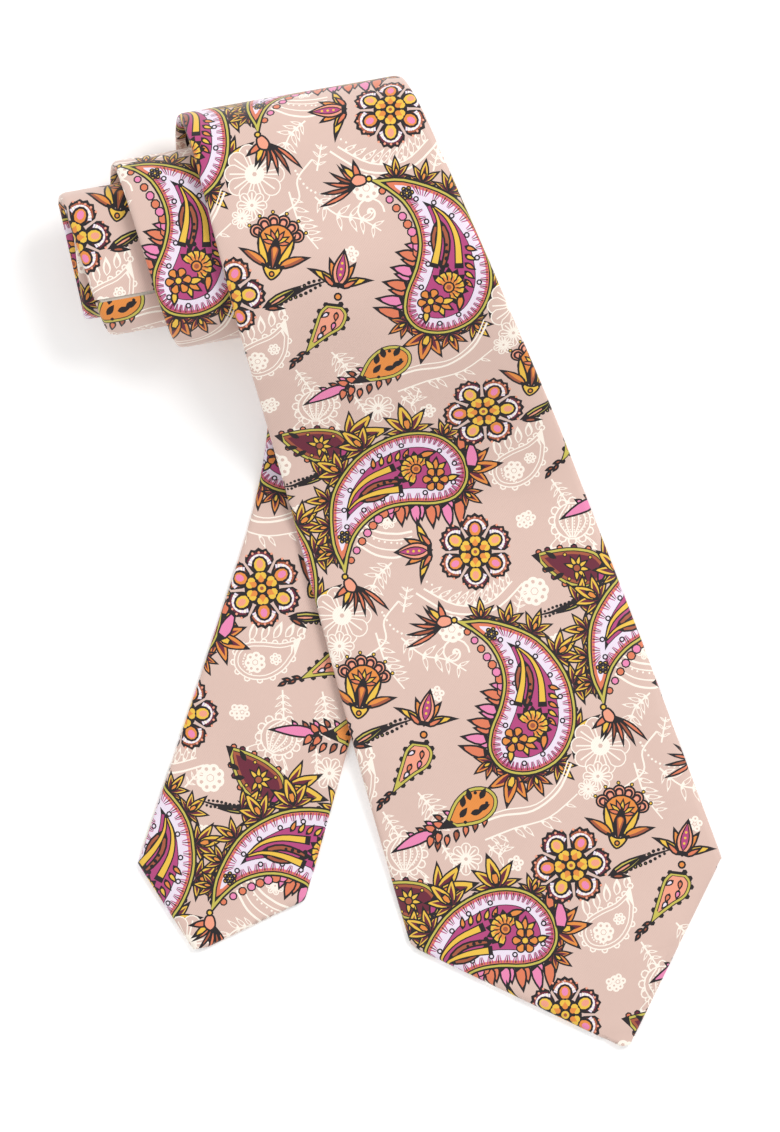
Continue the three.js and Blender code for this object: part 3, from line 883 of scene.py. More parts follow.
    def flame(self, spot: Spot) -> None:
        """The yellow two-pronged flame that fills the paisley's narrow half."""
        self.edged(leaf(17.0, 6.4, 0, 7), Ink.RUST, spot.at(3.4, 24.0, 26))
        self.edged(leaf(13.0, 3.4, 0, 6), Ink.MAGENTA, spot.at(5.4, 25.0, 24))
        for path in (
            [(0.6, 20.6), (2.6, 26.6), (7.4, 31.6), (15.4, 35.4)],
            [(0.6, 20.6), (4.4, 24.4), (10.4, 26.8), (18.0, 28.0)],
        ):
            self.edged(ribbon(rounded(path, 4, False), 0.9, 2.9), Ink.YELLOW, spot, 0.22)
        for i in range(4):
            self.fill(disc(0.52 + 0.1 * i, 7), Ink.LINE, spot.at(10.2 + 1.9 * i, 29.2 + 0.75 * i))
        for i in range(5):
            foot = spot.at(8.5 + 2.3 * i, 34.4 + 0.9 * i, 84 - 7 * i)
            self.edged(leaf(4.4, 2.0, 0.7), Ink.YELLOW if i % 2 else Ink.ORANGE, foot, 0.26)

    def sunburst(self, spot: Spot, radius: float) -> None:
        """A half flower of pointed petals."""
        for k in range(9):
            self.edged(leaf(radius, radius * 0.42, 0, 4, 0.6), Ink.YELLOW, spot.at(0, 0, -104 + 26 * k), 0.26)
            self.fill(leaf(radius * 0.66, radius * 0.2, 0, 3), Ink.ORANGE, spot.at(0, 0, -104 + 26 * k))
        self.edged(disc(radius * 0.3, 10), Ink.ORANGE, spot, 0.3)
        self.fill(disc(radius * 0.13, 8), Ink.RUST, spot)

    def daisy(self, spot: Spot, radius: float, ink: Ink, count: int = 6) -> None:
        """A small flower of round petals."""
        for k in range(count):
            self.edged(teardrop(radius, radius * 0.72), ink, spot.at(0, 0, 360 * k / count), 0.24)
        self.edged(disc(radius * 0.3, 8), Ink.YELLOW, spot, 0.2)

    def maroon_leaf(self, spot: Spot) -> None:
        """The leaf-shaped paisley: dark red ground, beaded rim, a flower and leaves inside.

        Args:
            spot: its point; the round end lies to the right.
        """
        top = [(7.0, 2.0), (13.5, 2.6), (20.0, 1.4), (23.8, -2.4), (24.2, -6.6)]
        under = [(20.6, -9.6), (16.0, -10.4), (10.6, -9.0), (5.8, -5.6), (2.8, -2.6)]
        edge = [(0.0, 0.0), *rounded([(2.4, 0.9), *top, *under], 3, False)]
        for i in range(1, len(edge) - 1, 2):
            self.edged(disc(1.15, 7), Ink.CORAL if i % 4 == 1 else Ink.MAROON, spot.at(*edge[i]), 0.26)
        rim = ((0.0, Ink.LINE), (0.35, Ink.OLIVE), (1.05, Ink.LINE), (1.35, Ink.RUST), (2.2, Ink.MAROON))
        self.banded(edge, rim, spot)
        for i, (x, y) in enumerate(((8.0, -1.0), (7.6, -4.4), (10.4, -5.6))):
            self.edged(leaf(4.2, 1.7), Ink.PINK if i % 2 else Ink.LILAC, spot.at(x, y, 150 + 30 * i), 0.24)
        for k in range(7):
            self.edged(leaf(4.6, 1.9), Ink.YELLOW, spot.at(14.4, -4.0, -90 + 42 * k), 0.24)
        self.edged(disc(1.5, 9), Ink.RUST, spot.at(14.4, -4.0), 0.26)
        for x, y in ((10.6, 0.2), (18.6, -0.6), (20.6, -4.6), (12.0, -7.4), (17.0, -8.0)):
            self.fill(disc(0.75, 7), Ink.LINE, spot.at(x, y))
            self.fill(disc(0.4, 6), Ink.YELLOW, spot.at(x, y))
        self.edged(leaf(8.0, 3.0, -2.0), Ink.MAGENTA, spot.at(22.2, -2.2, -84))

    def chain_stem(self, spot: Spot, length: float) -> None:
        """A long leaf with a beaded stem, its thick end at the spot, thinning along x."""
        s = spot.at(0, 0, 0, length / 22)
        for i in range(9):
            above = s.at(7 + 1.7 * i, 1.0 + 0.35 * math.sin(i * 1.3))
            below = s.at(6.2 + 1.75 * i, -1.1 + 0.2 * math.sin(i))
            self.edged(disc(0.95 - 0.05 * i, 7), Ink.OLIVE, above, 0.3)
            self.edged(disc(0.85 - 0.04 * i, 7), Ink.OLIVE, below, 0.3)
        self.fill(ribbon([(10, 0), (16, 0.3), (22.5, -0.4)], 1.6, 0.4), Ink.LINE, s)
        self.edged(leaf(15, 3.8, 0.8), Ink.OLIVE, s.at(0, 0, 3))
        self.edged(leaf(12.5, 1.9, 0.6), Ink.SALMON, s.at(0.8, -0.3, 5))
        self.edged(leaf(7, 2.0, -1.0), Ink.RUST, s.at(0.6, -0.6, -14))

    def fan_flower(self, spot: Spot) -> None:
        """The lotus seen from the side: a fan of looped petals over long leaves, opening along x."""
        for k in range(6):
            spoke = spot.at(9.6, 0, -62 + 25 * k)
            self.edged(teardrop(9.4, 4.4), Ink.SALMON, spoke)
            self.edged(teardrop(7.6, 2.8), Ink.MAROON, spoke.at(0.8, 0), 0.3)
            self.fill(teardrop(6.2, 1.5), Ink.SALMON, spoke.at(1.4, 0))
            self.fill(disc(0.7, 7), Ink.LINE, spoke.at(9.9, 0))
            self.fill(disc(0.36, 6), Ink.YELLOW, spoke.at(9.9, 0))
        self.edged(disc(5.9, 18), Ink.ORANGE, spot.at(10.0, 0))
        for k in range(7):
            petal = spot.at(9.8, 0, -84 + 28 * k)
            self.edged(leaf(5.0, 1.8), Ink.YELLOW if k % 2 else Ink.CORAL, petal, 0.24)
        for m in (1, -1):
            self.edged(leaf(13.5, 3.0, -2.6 * m), Ink.YELLOW, spot.at(1.0, 0.7 * m, 33 * m))
            self.edged(leaf(11.0, 3.4, 2.6 * m), Ink.RUST, spot.at(2.0, 1.4 * m, 50 * m))
            self.fill(leaf(7.0, 1.3, 1.2 * m), Ink.ORANGE, spot.at(3.2, 2.4 * m, 52 * m))
        self.edged(leaf(10.5, 4.4), Ink.LINE, spot.at(1.6, 0))
        self.fill(teardrop(6.6, 2.2), Ink.RUST, spot.at(2.2, 0))
        self.fill(teardrop(3.8, 1.4), Ink.ORANGE, spot.at(4.8, 0))
        foot = [(-1.6, 0), (0.4, -2.4), (3.4, -3.4), (2.4, -1.0), (2.4, 1.0), (3.4, 3.4), (0.4, 2.4)]
        self.edged(rounded(foot), Ink.YELLOW, spot)
        self.edged(disc(1.0, 9), Ink.ORANGE, spot.at(0.4, 0), 0.28)

    def drop_paisley(self, spot: Spot) -> None:
        """A small hanging paisley, its round end at the spot, tapering along x."""
        front = [(-5.0, 0.4), (-3.2, 3.8), (1.4, 4.6), (5.6, 2.4), (10.4, 0.2), (15.0, -1.6)]
        back = [(10.0, -2.6), (5.0, -3.6), (0.0, -4.4), (-3.6, -3.2)]
        edge = rounded(front, 3, False) + rounded(back, 3, False)
        for i in range(0, len(edge), 2):
            self.edged(disc(0.95, 6), Ink.MAROON if i % 4 else Ink.RUST, spot.at(*edge[i]), 0.28)
        self.banded(edge, ((0.0, Ink.LINE), (0.32, Ink.OLIVE), (1.0, Ink.LINE), (1.3, Ink.SALMON)), spot)
        inside = ((-2.4, 0.4, 20), (-1.2, -1.4, -30), (0.6, 1.4, 10), (3.0, -0.6, 0), (5.4, 0.0, -12))
        for i, (x, y, turn) in enumerate(inside):
            self.edged(leaf(3.4, 1.8), (Ink.CORAL, Ink.LILAC, Ink.PINK)[i % 3], spot.at(x, y, turn), 0.24)
        for i in range(4):
            tip = spot.at(13.6 + 1.5 * i, -1.4 - 0.5 * i, -40 + 34 * (i % 2))
            self.edged(leaf(3.6, 1.7), Ink.RUST, tip, 0.34)

    def yellow_paisley(self, spot: Spot) -> None:
        """A small yellow paisley with a pink plume at its point.

        Args:
            spot: its point; the round end lies along x, up and to the right.
        """
        for i in range(6):
            x = 16.0 - 3.3 * i
            under, over = (Ink.RUST, Ink.PINK) if i % 2 else (Ink.CORAL, Ink.RUST)
            self.edged(leaf(4.4, 2.4, 1.0), under, spot.at(x, -1.8 - 0.2 * i, 224), 0.28)
            self.edged(leaf(4.0, 2.2, -1.0), over, spot.at(x - 6.0, 1.4 + 0.9 * math.sin(i), 150), 0.28)
        self.edged(leaf(17.0, 4.2, 2.6, 7), Ink.PINK, spot.at(0.6, -0.6, 172))
        for i in range(4):
            collar = spot.at(2.4 - 1.4 * i, -0.6, 122 + 100 * (i % 2))
            self.edged(leaf(5.0, 2.8, 0.8), Ink.CORAL, collar, 0.28)
        top = [(4.0, 2.0), (8.6, 6.2), (14.4, 8.0), (19.6, 6.0)]
        under = [(21.4, 1.8), (19.0, -2.2), (13.4, -3.8), (6.0, -2.0)]
        edge = [(0.0, 0.0), *rounded([*top, *under], 3, False)]
        self.banded(edge, ((0.0, Ink.LINE), (0.35, Ink.OLIVE), (1.15, Ink.LINE), (1.45, Ink.ORANGE)), spot)
        left = ((8.0, 0.6, 30), (10.0, 3.2, 60), (11.6, 0.4, -10))
        inside = (*left, (13.2, 4.2, 80), (14.4, 0.6, 0), (16.2, 3.4, 40))
        for i, (x, y, turn) in enumerate(inside):
            self.edged(leaf(4.0, 2.0), (Ink.YELLOW, Ink.CORAL)[i % 2], spot.at(x, y, turn), 0.3)
        for x, y in ((5.0, 0.4), (9.0, -1.4), (17.6, 1.4), (15.6, 5.8)):
            self.fill(disc(0.6, 6), Ink.LINE, spot.at(x, y))

    def line_flower(self, spot: Spot, radius: float, count: int, heart: float = 0.3) -> None:
        """A flower in cream line: open petals, a filled heart and fine veins."""
        for k in range(count):
            petal = spot.at(0, 0, 360 * k / count)
            self.hollow(teardrop(radius, radius * 0.62), petal, 0.36)
            self.line([(radius * 0.3, 0), (radius * 0.82, 0)], petal, 0.34)
        self.fill(disc(radius * heart, 10), Ink.CREAM, spot)
        self.fill(disc(radius * heart * 0.4, 6), Ink.GROUND, spot)

    def white_flower(self, spot: Spot, radius: float, count: int = 5) -> None:
        """A small filled flower in cream."""
        for k in range(count):
            petal = spot.at(0, 0, 360 * k / count + 10)
            self.fill(teardrop(radius, radius * 0.8), Ink.CREAM, petal)
            self.fill(disc(radius * 0.14, 6), Ink.GROUND, petal.at(radius * 0.66, 0))
        self.ring(radius * 0.26, Ink.GROUND, spot, 0.22, 6)

    def frond(self, path: Sequence[Point], spot: Spot, size: float, side: int = 0, count: int = 9) -> None:
        """A stem with feathery leaves in cream line.

        Args:
            path: control points of the stem.
            spot: where it is placed.
            size: length of its longest leaf.
            side: 1 or -1 for leaves on one side only, 0 for both.
            count: leaves on each side.
        """
        stem = rounded(path, 4, False)
        self.line(stem, spot, 0.42, 0.3)
        for k in range(count):
            i = min(len(stem) - 2, 1 + int(k * (len(stem) - 2) / count))
            (x, y), (x2, y2) = stem[i], stem[i + 1]
            heading = math.degrees(math.atan2(y2 - y, x2 - x))
            reach = size * (0.55 + 0.45 * math.sin(math.pi * (k + 1) / (count + 1)))
            for m in (1, -1):
                if side in (0, m):
                    blade = leaf(reach, reach * 0.3, 0.22 * reach * m, 4)
                    self.hollow(blade, spot.at(x, y, heading + 42 * m), 0.24)

    def curl(self, spot: Spot, radius: float, turns: float = 1.4) -> None:
        """A line that ends in a spiral."""
        self.line(spiral(radius, turns), spot, 0.42, 0.5)
        self.fill(disc(0.7, 7), Ink.CREAM, spot)

    def beads(self, path: Sequence[Point], spot: Spot, radius: float = 0.36) -> None:
        """A row of cream dots along a path."""
        for x, y in rounded(path, 4, False):
            self.fill(disc(radius, 6), Ink.CREAM, spot.at(x, y))

    def line_paisley(self, spot: Spot) -> None:
        """A paisley in cream line, its point up and right, flamed along one side, with flowers inside."""
        full = [(1.2, -6.0), (0.6, -12.0), (-2.6, -17.4), (-8.0, -20.2), (-13.2, -19.2), (-15.4, -15.0)]
        flamed = [(-13.8, -10.6), (-9.4, -7.6), (-4.8, -5.4), (-1.8, -2.6)]
        edge = [(0.0, 0.0), *rounded([*full, *flamed], 3, False)]
        for i in range(5):
            foot = spot.at(-13.4 + 3.0 * i, -9.6 + 2.2 * i)
            self.fill(leaf(7.2 - 0.6 * i, 2.6, 1.0), Ink.CREAM, foot.at(0, 0, 96 - 6 * i))
            self.fill(leaf(5.2 - 0.6 * i, 1.5, 0.8), Ink.GROUND, foot.at(0.1, 0.4, 96 - 6 * i))
        for i in range(0, len(edge), 2):
            self.fill(disc(1.1, 7), Ink.CREAM, spot.at(*edge[i]))
            self.fill(disc(0.65, 6), Ink.GROUND, spot.at(*edge[i]))
        bands = ((0.0, Ink.CREAM), (0.42, Ink.GROUND), (1.2, Ink.CREAM), (1.55, Ink.GROUND))
        self.banded(edge, bands, spot)
        self.white_flower(spot.at(-8.4, -14.6), 3.4, 7)
        self.white_flower(spot.at(-3.4, -10.4), 2.0, 6)
        self.beads([(-12.4, -14.0), (-11.4, -17.0), (-7.6, -18.4)], spot, 0.3)

    def pod(self, spot: Spot) -> None:
        """A round seed pod in cream line with leaves about its foot."""
        for turn in (200, 228, 312, 340):
            self.hollow(leaf(9.0, 3.2, 1.6 if turn < 270 else -1.6), spot.at(0, -4.6, turn), 0.34)
        for k in range(12):
            c, s = math.cos(math.radians(30 * k)), math.sin(math.radians(30 * k))
            self.fill(disc(1.5, 8), Ink.CREAM, spot.at(6.2 * c, 6.2 * s))
            self.fill(disc(1.0, 7), Ink.GROUND, spot.at(6.3 * c, 6.3 * s))
        self.fill(disc(5.9, 18), Ink.CREAM, spot)
        self.fill(disc(5.45, 18), Ink.GROUND, spot)
        for k in range(-2, 3):
            self.thread([(0.4 * k, -5.2), (2.1 * k, 0), (0.9 * k, 5.0)], spot, 0.34, 4)
            self.beads([(1.1 * k + 0.6, -3.4), (2.1 * k + 0.6, 0), (1.1 * k + 0.5, 3.4)], spot, 0.26)

    def cream_work(self, spot: Spot) -> None:
        """The pale line work that fills the ground of one repeat."""
        self.line_flower(spot.at(-33.0, 2.0), 5.2, 8)
        self.white_flower(spot.at(-17.4, 0.6), 2.6)
        self.white_flower(spot.at(-66.4, 4.4), 2.6)
        self.pod(spot.at(-52.4, 3.6))
        self.frond([(-40.5, 6.5), (-36.8, 1.0), (-34.0, -0.5)], spot, 2.4, 0, 4)
        self.frond([(-27.0, 8.0), (-18.0, 11.6), (-7.0, 15.0), (2.0, 22.5)], spot, 5.0, -1, 7)
        self.frond([(-26.0, 6.4), (-22.0, 3.4), (-20.5, 9.0)], spot, 4.6, 0, 3)
        self.thread([(-30, 12.6), (-22, 15.6), (-12, 17.2), (-4, 23.4), (0, 32)], spot, 0.5)
        self.thread([(-29, 14.4), (-21, 17.4), (-11, 19.2), (-4, 25.6), (-1, 33)], spot, 0.3)
        self.line_paisley(spot.at(18.6, -6.4))
        self.white_flower(spot.at(13.4, -37.2), 2.7)
        self.white_flower(spot.at(16.8, -59.4), 4.6, 8)
        self.white_flower(spot.at(23.6, -75.0), 2.5)
        self.white_flower(spot.at(-9.2, -71.2), 4.4, 8)
        self.line_flower(spot.at(-43.6, -67.0), 9.4, 10, 0.2)
        self.line_flower(spot.at(-44.4, -76.6), 4.8, 8)
        self.white_flower(spot.at(-14.0, -91.6), 2.6)
        self.curl(spot.at(-8.4, -78.6), 4.8)
        self.frond([(-25.0, -74.0), (-18.4, -79.4), (-11.0, -80.8), (-4.6, -84.4)], spot, 5.4, 0, 6)
        self.frond([(-33.0, -72.4), (-29.6, -82.6), (-24.0, -90.0)], spot, 5.6, 1, 6)
        self.frond([(-18.0, -58.6), (-8.0, -63.6), (2.4, -63.0), (9.8, -56.2)], spot, 6.6, 1, 11)
        self.beads([(-17.0, -56.4), (-8.0, -61.0), (1.6, -60.6), (8.0, -54.8)], spot)
        self.thread([(-20.4, -60.0), (-9.0, -66.2), (4.0, -65.2), (13.0, -57.0)], spot, 0.45)
        for dy, wide in ((0.0, 0.5), (-2.0, 0.32), (-5.0, 0.32), (-7.4, 0.5)):
            arc = [(-39.0, -37.0 + dy), (-33.0, -40.6 + dy), (-26.4, -41.4 + dy), (-21.6, -40.6 + dy * 0.8)]
            self.thread(arc, spot, wide, 4)
        self.beads([(-37.6, -40.6), (-32.0, -43.6), (-25.0, -44.4)], spot)
        self.line_flower(spot.at(-29.4, -37.0), 3.0, 7)
        self.frond([(-28.0, -50.4), (-33.0, -55.6), (-34.6, -62.0)], spot, 5.0, 0, 5)
        self.frond([(-24.4, -66.0), (-23.0, -58.0)], spot, 3.0, 0, 4)
        self.beads([(-31.0, -66.0), (-27.4, -71.2), (-22.0, -73.4), (-15.6, -73.4)], spot, 0.4)
        self.thread([(-36.0, -80.0), (-30.0, -75.0), (-30.4, -68.6), (-26.0, -62.6)], spot, 0.42)
        self.frond([(11.4, -66.0), (13.0, -59.0)], spot, 2.6, 0, 4)
        self.pod(spot.at(28.4, -38.6).at(0, 0, 12, 0.86))
        self.frond([(22.0, -24.0), (26.0, -30.0), (28.0, -33.0)], spot, 3.6, 0, 5)
        self.line_flower(spot.at(5.4, 24.0), 3.4, 7)
        self.frond([(33.0, -18.0), (38.0, -24.0), (40.4, -32.0)], spot, 5.4, 0, 6)

    def repeat(self, spot: Spot) -> None:
        """One whole repeat of the print, about the middle of its first rosette."""
        self.cream_work(spot)
        self.chain_stem(spot.at(11.4, -3.4, 24), 21)
        self.chain_stem(spot.at(-47.4, -20.6, 200), 17)
        self.maroon_leaf(spot.at(-65.4, -7.2))
        self.palmette(spot.at(-42.6, -8.6, 8), 12.5, (Ink.YELLOW, Ink.MAROON, Ink.ORANGE))
        self.palmette(spot.at(-50.6, -22.2, 40), 9.5, (Ink.YELLOW, Ink.MAROON, Ink.ORANGE))
        self.large_paisley(spot.at(-42.6, -54.6))
        self.edged(leaf(12.0, 4.6, 1.6), Ink.PINK, spot.at(-3.4, -21.6, 84))
        self.edged(leaf(8.4, 3.4, -1.6), Ink.CORAL, spot.at(-5.6, -14.8, 112))
        self.rosette(spot, 12.6, 6)
        self.plume(spot.at(-42.2, -55.6, -58), 15.5)
        self.tulip(spot.at(-15.0, -46.4, 184), 12.6)
        self.rosette(spot.at(-1.8, -47.0), 12.0, 31)
        self.fan_flower(spot.at(14.4, 6.6, 82))
        self.tulip(spot.at(34.8, 2.6, 80), 12.4)
        self.edged(disc(1.35, 9), Ink.ORANGE, spot.at(34.8, 0.2))
        self.drop_paisley(spot.at(33.0, -6.4, -118))
        turned = spot.at(-8.2, -68.6, -111)
        self.large_paisley(turned)
        self.plume(turned.at(0.4, -1.0, -60), 15.5)
        self.yellow_paisley(spot.at(-42.0, 11.2, 24))


@dataclass(frozen=True)
class Repeat:
    """How the print repeats over the cloth, and how it lies on one strand."""

    along: Point = (28.3, -145.5)
    across: Point = (81.1, -40.9)
    anchor: Point = (0.0, 0.0)
    turn: float = 0.0

    def spots(self, low: Point, high: Point, margin: float) -> list[Spot]:
        """Where repeats start that can reach a box of the cloth.

        Args:
            low: lowest corner of the box, as (run, across).
            high: highest corner.
            margin: how far a repeat can reach from its start.

        Returns:
            The starts, in printing order.
        """
        base = Spot(*self.anchor, self.turn, mirror=True)
        found = []
        for i in range(-14, 15):
            for j in range(-14, 15):
                x = i * self.along[0] + j * self.across[0]
                y = i * self.along[1] + j * self.across[1]
                spot = base.at(x, y)
                near_run = low[0] - margin < spot.x < high[0] + margin
                if near_run and low[1] - margin < spot.y < high[1] + margin:
                    found.append(spot)
        return found


# ---- Finishes ----


def node(tree: bpy.types.NodeTree, kind: str, **values: object) -> bpy.types.Node:
    """Add a shader or geometry node.

    Args:
        tree: the node tree.
        kind: the node's type name.
        values: properties, or input values by socket name with spaces as underscores.

    Returns:
        The node.
    """
    made = tree.nodes.new(kind)
    for name, value in values.items():
        socket = made.inputs.get(name.replace("_", " "))
        if socket is not None:
            socket.default_value = value
        else:
            setattr(made, name, value)
    return made


@dataclass(frozen=True)
class PrintedSilk:
    """Printed silk twill: the print's inks, a fine diagonal rib and a low lustre."""

    roughness: float = 0.46
    sheen: float = 0.22
    rib_pitch: float = 0.0006

    def material(self) -> bpy.types.Material:
        """The finish as a material reading the print and the flat cloth's own coordinates."""
        made = bpy.data.materials.new("printed_silk")
        made.use_nodes = True
        tree = made.node_tree
        link = tree.links.new
        shader = tree.nodes["Principled BSDF"]
        ink = node(tree, "ShaderNodeAttribute", attribute_name="Print")
        cloth = node(tree, "ShaderNodeUVMap", uv_map="Cloth")
        turn = node(tree, "ShaderNodeMapping", Rotation=(0, 0, math.radians(45)))
        link(cloth.outputs["UV"], turn.inputs["Vector"])
        rib = node(tree, "ShaderNodeTexWave", Scale=0.31416 / self.rib_pitch, Distortion=0.0)
        link(turn.outputs["Vector"], rib.inputs["Vector"])
        slub = node(tree, "ShaderNodeTexNoise", Scale=420.0, Detail=3.0)
        link(cloth.outputs["UV"], slub.inputs["Vector"])
        soft = node(tree, "ShaderNodeTexNoise", Scale=34.0, Detail=2.0)
        link(cloth.outputs["UV"], soft.inputs["Vector"])
        both = node(tree, "ShaderNodeMath", operation="MULTIPLY_ADD")
        both.inputs[1].default_value = 0.5
        link(slub.outputs["Fac"], both.inputs[0])
        link(rib.outputs["Fac"], both.inputs[2])
        shade = node(tree, "ShaderNodeMapRange", From_Max=1.5, To_Min=0.93, To_Max=1.04)
        link(both.outputs[0], shade.inputs["Value"])
        tone = node(tree, "ShaderNodeMapRange", To_Min=0.95, To_Max=1.05)
        link(soft.outputs["Fac"], tone.inputs["Value"])
        total = node(tree, "ShaderNodeMath", operation="MULTIPLY")
        link(shade.outputs[0], total.inputs[0])
        link(tone.outputs[0], total.inputs[1])
        tinted = node(tree, "ShaderNodeVectorMath", operation="SCALE")
        link(ink.outputs["Color"], tinted.inputs[0])
        link(total.outputs[0], tinted.inputs["Scale"])
        link(tinted.outputs[0], shader.inputs["Base Color"])
        rough, smoother = self.roughness + 0.06, self.roughness - 0.05
        dull = node(tree, "ShaderNodeMapRange", From_Max=1.5, To_Min=rough, To_Max=smoother)
        link(both.outputs[0], dull.inputs["Value"])
        link(dull.outputs[0], shader.inputs["Roughness"])
        bump = node(tree, "ShaderNodeBump", Strength=0.25, Distance=0.00006)
        link(both.outputs[0], bump.inputs["Height"])
        link(bump.outputs["Normal"], shader.inputs["Normal"])
        shader.inputs["Sheen Weight"].default_value = self.sheen
        shader.inputs["Sheen Roughness"].default_value = 0.5
        shader.inputs["Specular IOR Level"].default_value = 0.35
        return made


@dataclass(frozen=True)
class Weave:
    """A plain textile: colour, how far it varies, thread scale, roughness and bump."""

    name: str
    colour: str
    vary: float
    scale: float
    roughness: float
    bump: float
    ribbed: bool = False

    def material(self) -> bpy.types.Material:
        """The finish as a material on the piece's own coordinates."""
        made = bpy.data.materials.new(self.name)
        made.use_nodes = True
        tree = made.node_tree
        link = tree.links.new
        shader = tree.nodes["Principled BSDF"]
        where = node(tree, "ShaderNodeTexCoord")
        base = linear(self.colour)
        kind = "ShaderNodeTexWave" if self.ribbed else "ShaderNodeTexNoise"
        grain = node(tree, kind, Scale=self.scale, Detail=3.0)
        link(where.outputs["Object"], grain.inputs["Vector"])
        ramp = node(tree, "ShaderNodeValToRGB")
        ramp.color_ramp.elements[0].color = [c * (1 - self.vary) for c in base] + [1]
        ramp.color_ramp.elements[1].color = [min(1, c * (1 + self.vary)) for c in base] + [1]
        link(grain.outputs["Fac"], ramp.inputs["Fac"])
        link(ramp.outputs["Color"], shader.inputs["Base Color"])
        bump = node(tree, "ShaderNodeBump", Strength=self.bump, Distance=0.0002)
        link(grain.outputs["Fac"], bump.inputs["Height"])
        link(bump.outputs["Normal"], shader.inputs["Normal"])
        shader.inputs["Roughness"].default_value = self.roughness
        shader.inputs["Sheen Weight"].default_value = 0.15
        return made


LINING = Weave("lining_satin", "cbaaa0", 0.10, 900.0, 0.38, 0.25, True)
FILLING = Weave("brushed_filling", "ece6da", 0.12, 700.0, 0.95, 0.7)
SEWING = Weave("sewing_thread", "c7a096", 0.14, 2400.0, 0.6, 0.5, True)
TWILL = Weave("keeper_twill", "dbbdb1", 0.08, 1300.0, 0.45, 0.3, True)
TAPE = Weave("label_tape", "f1ede6", 0.05, 1500.0, 0.55, 0.4, True)


# ---- The cloth ----

FOLD_LINES = 6
FRONT_LINE = 4


